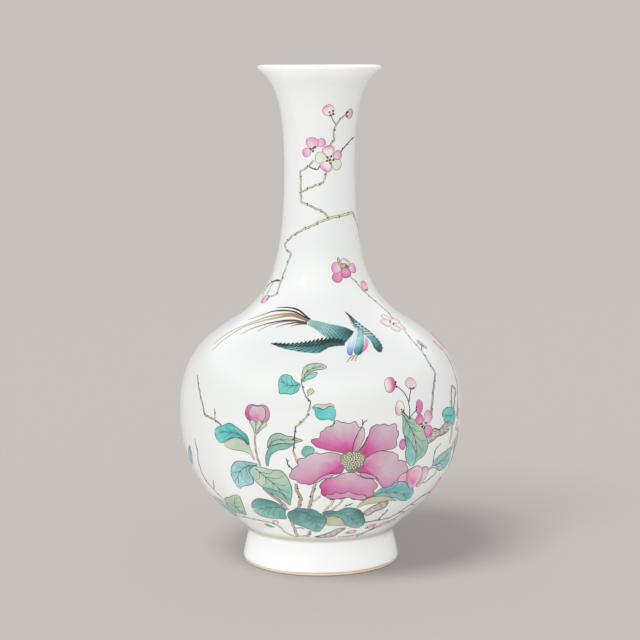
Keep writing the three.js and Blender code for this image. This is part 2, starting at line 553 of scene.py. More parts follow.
def sum_of(tree, operation, first, second):
    """Two values put together by one arithmetic operation."""
    return put(tree, "ShaderNodeMath", {0: first, 1: second}, operation=operation).outputs[0]


def mixed(tree, share, first, second):
    """Two colours mixed by a share."""
    return put(tree, "ShaderNodeMix", {0: share, 6: first, 7: second}, data_type="RGBA").outputs[2]


def bump(tree, height, strength, distance):
    """Normals of a fine relief whose height is a value."""
    made = put(tree, "ShaderNodeBump", {"Height": height, "Strength": strength, "Distance": distance})
    return made.outputs["Normal"]


def object_place(tree):
    """Places in the object's own metres."""
    return put(tree, "ShaderNodeTexCoord").outputs["Object"]


def height_of(tree, place):
    """Height of a place."""
    return put(tree, "ShaderNodeSeparateXYZ", {"Vector": place}).outputs["Z"]


def distance_of(tree, place):
    """Distance of a place from the origin."""
    return put(tree, "ShaderNodeVectorMath", {"Vector": place}, operation="LENGTH").outputs["Value"]


def scaled(tree, place, scale):
    """A place stretched along its axes."""
    return put(tree, "ShaderNodeMapping", {"Vector": place, "Scale": scale}).outputs["Vector"]


def new_material(name):
    """A material with an empty node tree, its output and its shader."""
    material = bpy.data.materials.new(name)
    material.use_nodes = True
    tree = material.node_tree
    tree.nodes.clear()
    shader = put(tree, "ShaderNodeBsdfPrincipled")
    put(tree, "ShaderNodeOutputMaterial", {"Surface": shader.outputs["BSDF"]})
    return material, tree, shader


def group_of(name, inputs, outputs):
    """An empty shader node group with its named value inputs (with defaults) and outputs."""
    tree = bpy.data.node_groups.new(name, "ShaderNodeTree")
    for label, default in inputs.items():
        socket = tree.interface.new_socket(label, in_out="INPUT", socket_type="NodeSocketFloat")
        socket.default_value = default
    for label in outputs:
        tree.interface.new_socket(label, in_out="OUTPUT", socket_type="NodeSocketFloat")
    return tree, put(tree, "NodeGroupInput"), put(tree, "NodeGroupOutput")


def brushed_wash_group():
    """Shared effect of a brushed enamel: streaks along the stroke, mottle, clouds, relief and gloss."""
    if "brushed_wash" in bpy.data.node_groups:
        return bpy.data.node_groups["brushed_wash"]
    tree, given, result = group_of(
        "brushed_wash",
        {"Wash": 0.5, "Streak": 0.2, "Mottle": 0.15, "Cloud": 0.2, "Gloss": ENAMEL_GLOSS},
        ("Wash", "Height", "Roughness"),
    )
    stroke = put(tree, "ShaderNodeUVMap", uv_map="brush").outputs["UV"]
    pot = object_place(tree)
    streak = noise(tree, scaled(tree, stroke, (0.10, 0.95, 1.0)), 1.0, 4.0, 0.6)
    mottle = noise(tree, pot, 260.0, 3.0, 0.55)
    cloud = noise(tree, pot, 62.0, 2.0)
    swings = [
        sum_of(tree, "MULTIPLY", sum_of(tree, "SUBTRACT", value, 0.5), given.outputs[label])
        for label, value in (("Streak", streak), ("Mottle", mottle), ("Cloud", cloud))
    ]
    brushed = sum_of(tree, "ADD", sum_of(tree, "ADD", swings[0], swings[1]), swings[2])
    ridges = sum_of(tree, "MULTIPLY", streak, 0.5)
    grain = sum_of(tree, "MULTIPLY", mottle, 0.5)
    dulling = sum_of(tree, "MULTIPLY", mottle, 0.14)
    feed(tree, result, {
        "Wash": sum_of(tree, "ADD", given.outputs["Wash"], brushed),
        "Height": sum_of(tree, "ADD", ridges, grain),
        "Roughness": sum_of(tree, "ADD", given.outputs["Gloss"], dulling),
    })
    return tree


def enamel_material(enamel, settings):
    """One overglaze enamel: its wash attribute, brushed by the shared group, read on its colour ramp."""
    label = f"{enamel}_enamel"
    if label in bpy.data.materials:
        return bpy.data.materials[label]
    material, tree, shader = new_material(label)
    wash = put(tree, "ShaderNodeAttribute", attribute_name="wash").outputs["Fac"]
    streak, mottle, cloud = ENAMELS[enamel][:3]
    inputs = {"Wash": wash, "Streak": streak, "Mottle": mottle, "Cloud": cloud}
    brushed = put(tree, "ShaderNodeGroup", inputs, node_tree=brushed_wash_group()).outputs
    ramp = put(tree, "ShaderNodeValToRGB", {"Fac": brushed["Wash"]})
    stops = ramp.color_ramp.elements
    while len(stops) < len(DEPTHS):
        stops.new(1.0)
    for stop, place, depth in zip(stops, DEPTH_WASHES, DEPTHS):
        stop.position = place
        stop.color = getattr(settings, f"{enamel}_{depth}")
    feed(tree, shader, {
        "Base Color": ramp.outputs["Color"],
        "Roughness": brushed["Roughness"],
        "Normal": bump(tree, brushed["Height"], 0.35, 0.05 * MM),
    })
    return material


def glaze_material(settings):
    """White glaze: a faint mottle, a greener band of pooled glaze and painted shade at the crease, a
    lighter foot and lip as painted light, sparse specks, peel and turning rings.
    """
    material, tree, shader = new_material("clear_glaze")
    place = object_place(tree)
    height = height_of(tree, place)
    # Painted light: the foot, the bowl just above the crease and the lip get the lighter white, the rest
    # the body colour.
    over_foot = reach(tree, height, (BOWL_BASE + COVER_RISE[0]) * MM, (BOWL_BASE + COVER_RISE[1]) * MM)
    under_lip = reach(tree, height, (LIP_EDGE - LIP_FADE) * MM, LIP_EDGE * MM, 1.0, 0.0)
    base = mixed(tree, sum_of(tree, "MULTIPLY", over_foot, under_lip), settings.white, settings.body)
    cloud = noise(tree, place, 14.0, 3.0)
    base = mixed(tree, reach(tree, cloud, 0.4, 0.8, 0.0, 0.07), base, settings.pooled)
    # Painted shade: a darker band just above the crease, where shade falls, together with the glaze that
    # pools there.
    pool_and_shade_peak = BOWL_BASE + POOL_AND_SHADE_RISE
    above = reach(tree, height, pool_and_shade_peak * MM, (BOWL_BASE + 3 * POOL_AND_SHADE_RISE) * MM, 1.0, 0.0)
    below = reach(tree, height, BOWL_BASE * MM, pool_and_shade_peak * MM)
    base = mixed(tree, sum_of(tree, "MULTIPLY", above, below), base, settings.pooled)
    cells = put(tree, "ShaderNodeTexVoronoi", {"Vector": place, "Scale": 95.0})
    speck = reach(tree, cells.outputs["Distance"], 0.012, 0.022, 1.0, 0.0)
    chosen = reach(tree, noise(tree, place, 31.0, 1.0), 0.62, 0.66)
    specks = sum_of(tree, "MULTIPLY", sum_of(tree, "MULTIPLY", speck, chosen), 0.7)
    peel = noise(tree, place, 420.0, 2.0)
    rings = noise(tree, scaled(tree, place, (2.0, 2.0, 150.0)), 1.0, 2.0)
    relief = sum_of(tree, "ADD", peel, sum_of(tree, "MULTIPLY", rings, 1.6))
    gloss = noise(tree, place, 40.0, 2.0)
    feed(tree, shader, {
        "Base Color": mixed(tree, specks, base, settings.speck),
        "Roughness": reach(tree, gloss, 0.3, 0.7, settings.gloss, settings.gloss + 0.04),
        "Normal": bump(tree, relief, 0.22, 0.05 * MM),
    })
    return material


def biscuit_material(settings):
    """Bare foot: sandy grain, grey wear and a painted contact shadow where it stands, and a rust line under
    the glaze edge.
    """
    material, tree, shader = new_material("bare_biscuit")
    place = object_place(tree)
    height = height_of(tree, place)
    grain = noise(tree, place, 900.0, 4.0, 0.65)
    cloud = noise(tree, place, 90.0, 3.0)
    base = mixed(tree, reach(tree, cloud, 0.3, 0.7, 0.0, 0.45), settings.biscuit, settings.paste)
    scorched = reach(tree, height, SCORCH_RISE[0] * MM, SCORCH_RISE[1] * MM, 0.0, 0.8)
    base = mixed(tree, scorched, base, settings.scorch)
    base = mixed(tree, reach(tree, grain, 0.25, 0.5, 0.4, 0.0), base, settings.scorch)
    # Painted shade: the outer edge goes dark low down, a contact shadow where the foot stands, together
    # with wear.
    rim = (FOOT_RADIUS - BEVEL_WIDTH) * MM
    outer = reach(tree, distance_of(tree, place), rim - MM, rim, 0.2, 0.95)
    low = reach(tree, height, WEAR_AND_SHADE_RISE[0] * MM, WEAR_AND_SHADE_RISE[1] * MM, 1.0, 0.0)
    worn_and_contact_shade = sum_of(tree, "MULTIPLY", outer, low)
    feed(tree, shader, {
        "Base Color": mixed(tree, worn_and_contact_shade, base, settings.speck),
        "Roughness": reach(tree, grain, 0.2, 0.8, 0.72, 0.95),
        "Normal": bump(tree, grain, 0.6, 0.15 * MM),
    })
    return material


def paste_material(name, settings, grey):
    """Fired porcelain paste under the glaze: white with throwing rings, greyer for the slip."""
    material, tree, shader = new_material(name)
    place = object_place(tree)
    share = reach(tree, noise(tree, place, 60.0, 3.0), 0.3, 0.7, grey, grey + 0.2)
    rings = noise(tree, scaled(tree, place, (1.0, 1.0, 60.0)), 8.0, 2.0)
    feed(tree, shader, {
        "Base Color": mixed(tree, share, settings.paste, settings.pooled),
        "Roughness": reach(tree, rings, 0.2, 0.8, 0.5, 0.7),
        "Normal": bump(tree, rings, 0.4, 0.2 * MM),
    })
    return material


def sweep_material(settings):
    """Paper sweep: the floor colour with the faintest fibre, giving way to the even backdrop far away."""
    material, tree, shader = new_material("paper_sweep")
    place = object_place(tree)
    darker = tuple(0.985 * value for value in settings.floor[:3]) + (1.0,)
    far = reach(tree, distance_of(tree, place), BACKDROP_START, FLOOR_REACH)
    paper = mixed(tree, noise(tree, place, 55.0, 3.0), settings.floor, darker)
    feed(tree, shader, {
        "Base Color": mixed(tree, far, paper, (0.0, 0.0, 0.0, 1.0)),
        "Emission Color": mixed(tree, far, settings.floor_glow, settings.backdrop),
        "Emission Strength": 1.0,
        "Roughness": 0.95,
        "Specular IOR Level": 0.0,
    })
    return material


# Enamel films

def edge_steps(count, edge):
    """Shares from 0 to 1: a narrow step at both ends and equal steps between."""
    edge = min(edge, 0.2)
    return np.concatenate(((0.0,), np.linspace(edge, 1 - edge, count), (1.0,)))


def ruled_grid(curves, across):
    """Grid between curves with equal counts of points: straight from each to the next by shares across."""
    stops = np.linspace(0, 1, len(curves))
    band = np.clip(np.searchsorted(stops, across, side="right") - 1, 0, len(curves) - 2)
    share = (across - stops[band]) / (stops[band + 1] - stops[band])
    sides = np.stack(curves)
    return np.swapaxes(sides[band] + share[:, None, None] * (sides[band + 1] - sides[band]), 0, 1)


def read_along(values, share):
    """One value, or several spread evenly from 0 to 1, read between its entries at shares."""
    return np.interp(share, np.linspace(0, 1, np.size(values)), np.atleast_1d(values))


def table_at(table, down, along):
    """A small table of rows read between its entries: along each row first, then down the rows."""
    read = np.stack([np.interp(along, np.linspace(0, 1, len(row)), row) for row in table])
    rows = np.clip(down * (len(table) - 1), 0, len(table) - 1)
    low = np.minimum(rows.astype(int), max(len(table) - 2, 0))
    high = np.minimum(low + 1, len(table) - 1)
    share = (rows - low)[:, None]
    return read[low] * (1 - share) + read[high] * share


# Sections of a stroke and of a dot: places across them and how high each stands, in millimetres
STROKE_SIDES = np.array((-0.5, -0.47, -0.2, 0.2, 0.47, 0.5))
STROKE_CROWN = np.array((0, 0.028, 0.04, 0.04, 0.028, 0))
DOT_RINGS = np.array((PINHOLE, 0.85, 1.0))
DOT_CROWN = np.array((0.04, 0.03, 0))

# Drawn lines: widths in millimetres, washes, levels, and shares of what they are drawn on
BROAD_STEM = 0.95
MOSSY = 0.4
TWIG_DARKENING = 0.25
STEM_LEVEL = 2
STEM_EDGE = (0.24, 0.3)
STEM_EDGE_WASH = (0.72, 0.28)
STEM_EDGE_BEAT = 2.4
KNOT = (1.3, 0.9, 0.4)
KNOT_WASH = 0.8
KNOT_ROOT = 0.2
KNOT_REACH = 0.95
KNOT_LEAN = 0.9
LEAF_EDGE = (0.3, 0.6, 0.4)
LEAF_EDGE_WASH = 0.45
RIB = (0.7, 0.5, 0.25)
VEIN = (0.45, 0.2)
VEIN_WASH = 0.5
RIB_END = 0.93
VEIN_SPAN = (0.14, 0.72)
VEIN_LEAN = 0.17
VEIN_LAST = 0.97
VEIN_BOW = 0.06
VEIN_END = 0.88
TONGUE_EDGE = (0.25, 0.4, 0.3)
TONGUE_EDGE_WASH = 0.4
BLOSSOM_EDGE = 0.32
EGG_SWELL = 0.25
EGG_ROOT = 0.7
STAMEN = (0.3, 0.22)
ANTHER = 1.7

Shade = namedtuple("Shade", "tones enamel edge edge_wash")
Petal = namedtuple("Petal", "outline root tones level")


class Painting:
    """Gathers closed films of enamel laid on the glazed wall, then makes them one mesh object."""

    def __init__(self, context):
        self.wall = glazed_wall(context.scene.vase_glaze.coat)
        self.settings = context.scene.vase_enamel
        self.move()
        self.count = 0
        self.used = []
        self.points = []
        self.wash = []
        self.brush = []
        self.quads = []
        self.trios = []
        self.quad_finish = []
        self.trio_finish = []

    def move(self, turn=0.0, mirror=1.0):
        """Lay what follows elsewhere on the pot: turned by an angle, and mirrored where that is -1."""
        self.turn = turn
        self.mirror = mirror

    def radius_at(self, rise):
        """Radius of the glazed wall at a rise."""
        return float(np.interp(rise, self.wall.rise, self.wall.radius))

    def flat(self, points):
        """Wall points as millimetres on a plane unrolled at their middle rise, and the radius there."""
        points = np.asarray(points, float)
        across = np.radians(self.turn + self.mirror * points[:, 0])
        radius = self.radius_at(points[:, 1].mean())
        return np.stack((across * radius, points[:, 1]), axis=1), radius

    def on_wall(self, across, rise, lift):
        """Places in metres: the wall at each rise, turned by the angle and raised along its normal."""
        radius = np.interp(rise, self.wall.rise, self.wall.radius)
        height = np.interp(rise, self.wall.rise, self.wall.height)
        radius = radius + lift * np.interp(rise, self.wall.rise, self.wall.normal[:, 0])
        height = height + lift * np.interp(rise, self.wall.rise, self.wall.normal[:, 1])
        return np.stack((radius * np.sin(across), -radius * np.cos(across), height), axis=-1) * MM

    def film(self, plane, radius, lift, wash, brush, enamel, wrap=False):
        """Add one film from a grid of plane points with its lift, wash and brush coordinates.

        The upper face follows the grid. The under face spans its first and last columns, and fans close
        the first and last rows unless the rows wrap round. A film that faces inwards is turned over.
        """
        rows, columns = lift.shape
        place = self.count + np.arange(rows * columns).reshape(rows, columns)
        ring = np.concatenate((place, place[:1])) if wrap else place
        upper = (ring[:-1, :-1], ring[1:, :-1], ring[1:, 1:], ring[:-1, 1:])
        upper = np.stack(upper, axis=-1).reshape(-1, 4)
        under = np.stack((ring[:-1, 0], ring[:-1, -1], ring[1:, -1], ring[1:, 0]), axis=-1)
        quads = np.concatenate((upper, under))
        trios = np.zeros((0, 3), int)
        if not wrap:
            first, last = place[0], place[-1]
            start = np.stack((np.full(columns - 2, first[0]), first[1:-1], first[2:]), axis=-1)
            end = np.stack((np.full(columns - 2, last[0]), last[2:], last[1:-1]), axis=-1)
            trios = np.concatenate((start, end))
        corner = plane.reshape(-1, 2)[upper - self.count]
        one, two = corner[:, 2] - corner[:, 0], corner[:, 3] - corner[:, 1]
        if np.sum(one[:, 0] * two[:, 1] - one[:, 1] * two[:, 0]) < 0:
            quads, trios = quads[:, ::-1], trios[:, ::-1]
        if enamel not in self.used:
            self.used.append(enamel)
        finish = self.used.index(enamel)
        self.points.append(self.on_wall(plane[..., 0] / radius, plane[..., 1], lift).reshape(-1, 3))
        self.wash.append(wash.ravel())
        self.brush.append(brush.reshape(-1, 2))
        self.quads.append(quads)
        self.trios.append(trios)
        self.quad_finish.append(np.full(len(quads), finish))
        self.trio_finish.append(np.full(len(trios), finish))
        self.count += rows * columns

    def line(self, path, width, enamel, wash, level, crook=None, tones=0.0):
        """Brush line along a path on the wall: smooth, or cornered and wandering where a crook is given."""
        plane, radius = self.flat(path)
        line = smooth_line(plane) if crook is None else crooked_line(plane, crook)
        self.stroke(line, radius, width, enamel, wash, level, tones)
        return line, radius

    def stroke(self, line, radius, width, enamel, wash, level, tones=0.0):
        """Low section with upright walls carried along a plane line, its width and wash read along it.

        Tones, where given, are added to the wash from its left edge to its right one.
        """
        length = run_of(line)[-1]
        share = edge_steps(max(2, int(length / LINE_STEP)), LINE_EDGE / length)
        line = curve_at(line, share)
        across = read_along(width, share)[:, None] * STROKE_SIDES
        grid = line[:, None, :] + across[..., None] * right_hand(line)[:, None, :]
        raised = np.tile(STROKE_CROWN + level * FILM_LAYER, (len(line), 1))
        raised[[0, -1]] = FILM_SEAT
        raised[:, [0, -1]] = FILM_SEAT
        tone = read_along(wash, share)[:, None] + read_along(tones, STROKE_SIDES + 0.5)
        brush = np.stack(np.broadcast_arrays(share[:, None] * length, across), axis=-1)
        self.film(grid, radius, raised, tone, brush, enamel)

    def dot(self, place, size, enamel, wash, level):
        """Touch of the brush tip: a low round blob, its rings the cosine and sine of the way round."""
        plane, radius = self.flat((place,))
        way = np.arange(DOT_STEPS) * (2 * math.pi / DOT_STEPS)
        circle = 0.5 * size * np.stack((np.cos(way), np.sin(way)), axis=1)
        brush = DOT_RINGS[:, None] * circle[:, None, :]
        raised = np.tile(DOT_CROWN + level * FILM_LAYER, (DOT_STEPS, 1))
        raised[:, -1] = FILM_SEAT
        self.film(plane[0] + brush, radius, raised, np.full(raised.shape, wash), brush, enamel, wrap=True)

    def stem(self, path, width, wash, crook, thorns):
        """Branch or twig: a crooked line, dark edges where it is broad, and knots on alternate sides."""
        broad = np.max(width) >= BROAD_STEM
        if not broad:
            enamel, wash = "ink", wash + TWIG_DARKENING
        else:
            enamel = "moss" if wash < MOSSY else "branch"
        line, radius = self.line(path, width, enamel, wash, STEM_LEVEL, crook)
        normal = right_hand(line)
        run = run_of(line)
        half = 0.5 * read_along(width, run / run[-1])
        steps = np.arange(max(3, int(run[-1] / EDGE_STEP)))
        for side in (-1, 1) if broad else ():
            swing = np.sin(STEM_EDGE_BEAT * steps + side + path[0][1])
            depth = STEM_EDGE_WASH[0] + STEM_EDGE_WASH[1] * swing
            edge = line + side * half[:, None] * normal
            self.stroke(edge, radius, STEM_EDGE[0] + STEM_EDGE[1] * depth, enamel, depth, STEM_LEVEL + 1)
        for place in range(thorns):
            at = int((place + 0.6) / thorns * (len(line) - 3))
            side = 1 if place % 2 else -1
            ahead = KNOT_LEAN * (line[at + 1] - line[at])
            root = line[at] + KNOT_ROOT * side * half[at] * normal[at]
            tip = line[at] + side * (half[at] + KNOT_REACH) * normal[at] + ahead
            self.stroke(np.stack((root, tip)), radius, KNOT, "ink", KNOT_WASH, STEM_LEVEL + 2)

    def patch(self, left, right, tones, enamel, level, rib=None):
        """Wash ruled between two sides that run the same way, bent through a rib where one is given.

        Tones is a small table of washes, rows along the sides and columns from left to right.
        """
        sides = (left, right) if rib is None else (left, rib, right)
        plane, radius = self.flat(np.concatenate(sides))
        cuts = np.cumsum([len(side) for side in sides[:-1]])
        curves = [smooth_line(side) for side in np.split(plane, cuts)]
        length = max(run_of(curve)[-1] for curve in curves)
        along = edge_steps(int(np.clip(length / PATCH_STEP, 8, 44)), FILM_EDGE / length)
        curves = [curve_at(curve, TIP_SHARE + (1 - 2 * TIP_SHARE) * along) for curve in curves]
        width = max(np.hypot(*(curves[0] - curves[-1]).T).max(), NARROWEST)
        across = edge_steps(int(np.clip(width / PATCH_STEP, 6, 26)), FILM_EDGE / width)
        raised = np.full((len(along), len(across)), FILM_BODY + level * FILM_LAYER)
        raised[[0, -1]] = FILM_SEAT
        raised[:, [0, -1]] = FILM_SEAT
        wash = table_at(tones, along, across)
        brush = np.stack(np.broadcast_arrays(along[:, None] * length, across * width), axis=-1)
        self.film(ruled_grid(curves, across), radius, raised, wash, brush, enamel)
        return curves, radius

    def petals(self, petals, enamel, edge=0.42, edge_wash=0.45, ripple=0.0):
        """Petals in order, each spread from its root to its outline on the wall, with an ink edge."""
        for petal in petals:
            plane, radius = self.flat((*petal.outline, petal.root))
            shade = Shade(petal.tones, enamel, "ink", edge_wash)
            self.spread(plane[:-1], plane[-1], radius, shade, petal.level, edge, ripple)

    def spread(self, outline, root, radius, shade, level, edge, ripple=0.0):
        """Wash spread from a root to a closed smooth outline on the plane, with fanned streaks and an edge.

        The shade's tones are a small table of washes: rows from the root to the edge, columns round it.
        """
        rim = smooth_line(outline, closed=True)
        around = int(np.clip(run_of(rim)[-1] / RIM_STEP, 18, 120))
        rim = even_points(rim, around + 1)[:-1]
        spread = np.hypot(*(rim - root).T)
        widest = spread.max()
        far = np.clip(2.6 * spread / widest - 1.1, 0, 1)
        beat = math.pi * round(around / RIPPLE_STEPS) / around
        wave = np.abs(np.sin(np.arange(around) * beat)) - 0.6
        rim = rim + (ripple * far * wave / spread)[:, None] * (rim - root)
        rings = int(np.clip(widest / PATCH_STEP, 4, 24))
        out = np.concatenate((np.linspace(PINHOLE, 1 - min(0.2, FILM_EDGE / widest), rings), (1.0,)))
        grid = root + out[None, :, None] * (rim - root)[:, None, :]
        raised = np.full((around, len(out)), FILM_BODY + level * FILM_LAYER)
        raised[:, -1] = FILM_SEAT
        wash = table_at(shade.tones, out, np.linspace(0, 1, around)).T
        turn = np.arange(around)[:, None] * RIM_STEP
        brush = np.stack(np.broadcast_arrays(out[None, :] * spread[:, None], turn), axis=-1)
        self.film(grid, radius, raised, wash, brush, shade.enamel, wrap=True)
        border = np.concatenate((rim, rim[:1]))
        self.stroke(border, radius, edge, shade.edge, shade.edge_wash, level + 2)

    def blossom(self, heart, petals, stamens, level=3):
        """Small flower: egg-shaped petals about a heart, and stamens.

        A petal has its centre, half length and half width. Its outline goes round its centre: the half
        length times the cosine along the line from the heart, and the half width times the sine across
        it, a quarter wider towards its tip.
        """
        turn = np.arange(EGG_STEPS) * (2 * math.pi / EGG_STEPS)
        for order, (centre, length, width, shade) in enumerate(petals):
            plane, radius = self.flat((heart, centre))
            axis = (plane[1] - plane[0]) / np.hypot(*(plane[1] - plane[0]))
            side = np.array((-axis[1], axis[0]))
            along = length * np.cos(turn)
            across = width * np.sin(turn) * (1 + EGG_SWELL * np.cos(turn))
            outline = plane[1] + along[:, None] * axis + across[:, None] * side
            root = plane[1] - EGG_ROOT * length * axis
            self.spread(outline, root, radius, shade, level + order % 3, BLOSSOM_EDGE)
        for place in stamens:
            if place != heart:
                self.line((heart, place), STAMEN, "ink", 0.5, level + 5)
            self.dot(place, ANTHER, "ink", 0.98, level + 6)

    def leaf(self, left, right, rib, tones, level, veins, enamel):
        """Leaf: a wash ruled from its left edge through its rib to the right one, with edges and veins."""
        (first, middle, last), radius = self.patch(left, right, tones, enamel, level, rib)
        for side in (first, last):
            self.stroke(side, radius, LEAF_EDGE, "ink", LEAF_EDGE_WASH, level + 2)
        end = len(middle) - 1
        self.stroke(middle[: int(RIB_END * end)], radius, RIB, "ink", VEIN_WASH, level + 2)
        ahead = VEIN_BOW * (middle[-1] - middle[0])
        for start in np.linspace(*VEIN_SPAN, veins):
            begin = middle[int(start * end)]
            for side in (first, last):
                across = side[int(min(start + VEIN_LEAN, VEIN_LAST) * end)] - begin
                bent = np.stack((begin, begin + 0.5 * across + ahead, begin + VEIN_END * across))
                self.stroke(smooth_line(bent), radius, VEIN, "ink", VEIN_WASH, level + 2)

    def tongue(self, left, right, tones, enamel, level):
        """Strip of wash between two sides, with both sides drawn."""
        curves, radius = self.patch(left, right, tones, enamel, level)
        for side in curves:
            self.stroke(side, radius, TONGUE_EDGE, "ink", TONGUE_EDGE_WASH, level + 2)

    def make(self, name):
        """Join the films into one mesh object with its wash, brush coordinates and enamels."""
        faces = np.concatenate(self.quads), np.concatenate(self.trios)
        made = mesh_object(name, np.concatenate(self.points), *faces)
        mesh = made.data
        wash = mesh.attributes.new("wash", "FLOAT", "POINT")
        wash.data.foreach_set("value", np.clip(np.concatenate(self.wash), 0, 1).astype(np.float32))
        corner = np.empty(len(mesh.loops), np.int32)
        mesh.loops.foreach_get("vertex_index", corner)
        brush = mesh.uv_layers.new(name="brush")
        brush.data.foreach_set("uv", np.concatenate(self.brush)[corner].astype(np.float32).ravel())
        for enamel in self.used:
            mesh.materials.append(enamel_material(enamel, self.settings))
        finish = np.concatenate(self.quad_finish + self.trio_finish).astype(np.int32)
        mesh.polygons.foreach_set("material_index", finish)
        sharpen(made, FILM_SHARP)
        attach(made, "root")


# Strokes over a wash

GOLDEN_SHARE = (math.sqrt(5) - 1) / 2
Hatch = namedtuple("Hatch", "count width wash lean level enamel span", defaults=("ink", (0.04, 0.96)))


def between(sides, along, across):
    """Plane point between two sides: at a share along both, then at a share across."""
    first, last = (curve_at(side, np.array((np.clip(along, 0, 1),)))[0] for side in sides)
    return first + across * (last - first)


def hatch(painting, sides, radius, rows, brush):
    """Rows of short strokes between two sides, leaning ahead: each row starts and ends at shares across."""
    start, end = brush.span
    for begin, finish in rows:
        for along in np.linspace(start, end - max(brush.lean, 0), brush.count):
            ends = (between(sides, along, begin), between(sides, along + brush.lean, finish))
            painting.stroke(np.stack(ends), radius, brush.width, brush.enamel, brush.wash, brush.level)


def touches(painting, sides, radius, count, length, level):
    """Short touches over a wash: even steps along it, golden shares across it, broader and darker ahead."""
    for order in range(count):
        along = (order + 0.5) / count
        across = 0.08 + 0.84 * (order * GOLDEN_SHARE % 1)
        ends = (between(sides, along, across), between(sides, along + length, across))
        painting.stroke(np.stack(ends), radius, 0.3 + 0.4 * along, "ink", 0.25 + 0.65 * along, level)


# Large mallow flower

MALLOW_PETALS = (
    Petal(((9, 101), (5, 102.5), (0, 105), (-3, 108), (-3.3, 110), (-2, 112), (0, 113.5), (0.5, 118),
           (2.5, 120), (4.5, 121.5), (5, 123.5), (7, 125), (9, 124), (10, 122.5), (12, 124), (13.5, 123.5),
           (14.5, 121), (16.5, 119), (17, 116), (17, 112), (15.5, 106), (14, 102), (12.8, 101)),
          (11.2, 102),
          ((0.98, 0.98, 0.95, 0.9, 0.98), (0.9, 0.78, 0.4, 0.42, 0.72), (0.95, 0.74, 0.06, 0.1, 0.5)), 1),
    Petal(((16.5, 97), (15, 101), (16.5, 105), (18, 110), (19, 115), (19.5, 119), (21, 120), (23, 121),
           (25, 120.5), (26, 119.5), (28, 120), (30, 119.5), (31, 117), (31.3, 112), (30.8, 106),
           (30, 102), (27, 101), (23, 100.5), (20, 98.5), (18, 96.5)),
          (17, 99.5),
          ((1.0, 0.95, 0.95, 0.95, 1.0), (0.88, 0.7, 0.36, 0.52, 0.92), (0.9, 0.5, 0.06, 0.46, 0.95)), 1),
    Petal(((9.3, 96), (8, 99), (5.5, 101), (2.5, 101.5), (0, 100.5), (-2, 101.5), (-4, 99.8), (-6, 97.5),
           (-8, 96.5), (-9, 93), (-10, 89), (-11.5, 87), (-12.3, 83), (-11, 79.5), (-9, 78), (-7, 76),
           (-5, 75.5), (-3, 76.5), (-1.5, 79), (0.5, 82), (3, 84.5), (6, 85), (8.5, 85.5), (9.2, 90)),
          (7.6, 91),
          ((0.9, 0.75, 0.72, 0.88, 0.95), (0.5, 0.24, 0.32, 0.8, 0.9), (0.5, 0.1, 0.34, 1.0, 0.8)), 2),
    Petal(((17, 95), (20, 98.5), (23, 100.5), (26, 100.3), (28, 99), (30, 98.5), (31.5, 96), (32, 92.5),
           (34, 91), (36.5, 88.5), (37.5, 84), (37, 80), (35.5, 76), (33, 74), (30.5, 70.5), (28.5, 69),
           (26, 71.5), (24.5, 76), (23.5, 79), (21, 82), (18, 84.5), (15.5, 84.5), (14, 86.5), (15.5, 91)),
          (17.5, 88.5),
          ((0.86, 0.66, 0.6, 0.8, 0.95), (0.52, 0.26, 0.3, 0.72, 0.85), (0.46, 0.1, 0.28, 1.0, 0.75)), 2),
    Petal(((10, 85), (12, 85.3), (14, 84.5), (16, 81.5), (18.5, 79.5), (21, 78.5), (23, 76), (24, 72),
           (23.5, 67), (22.5, 62.5), (20, 60), (17.5, 59.5), (14.5, 61), (12.5, 62.8), (10, 62.5),
           (7, 61.5), (4.5, 62), (2, 64.5), (0.5, 68), (-0.2, 72), (0.3, 76), (1, 79), (3, 80.5), (6, 82),
           (8, 84)),
          (12, 79),
          ((0.24, 0.26, 0.34, 0.3, 0.26), (0.2, 0.36, 0.6, 0.56, 0.26), (0.22, 0.45, 0.95, 0.94, 0.34)), 4),
)
MALLOW_FOLDS = (
    Petal(((-3, 77), (-1, 80), (1, 83), (4, 84.7), (8, 85), (5, 83.4), (3.4, 81), (1, 80.3), (-0.5, 78.2)),
          (1.2, 81.3), ((0.34,), (0.3,), (0.36,)), 6),
    Petal(((15.2, 84.2), (18, 84), (21, 81.8), (23.6, 78.6), (22.5, 78.6), (20.5, 79.5), (18, 80.5),
           (16.4, 82)),
          (19, 82), ((0.5,), (0.42,), (0.3,)), 6),
    Petal(((1.5, 66), (3, 66.5), (5, 66.5), (6.5, 68.5), (8.5, 67), (10.5, 67.5), (11.5, 69), (14, 66.5),
           (16, 65), (18, 65), (19.5, 63.5), (20, 60.6), (17.5, 60), (14.5, 61.4), (12.5, 63.1),
           (10, 62.9), (7, 62), (4.5, 62.4), (2.5, 64.2)),
          (10, 65), ((0.5,), (0.52, 0.42, 0.5, 0.44, 0.58), (0.6, 0.36, 0.42, 0.66, 0.62)), 6),
)
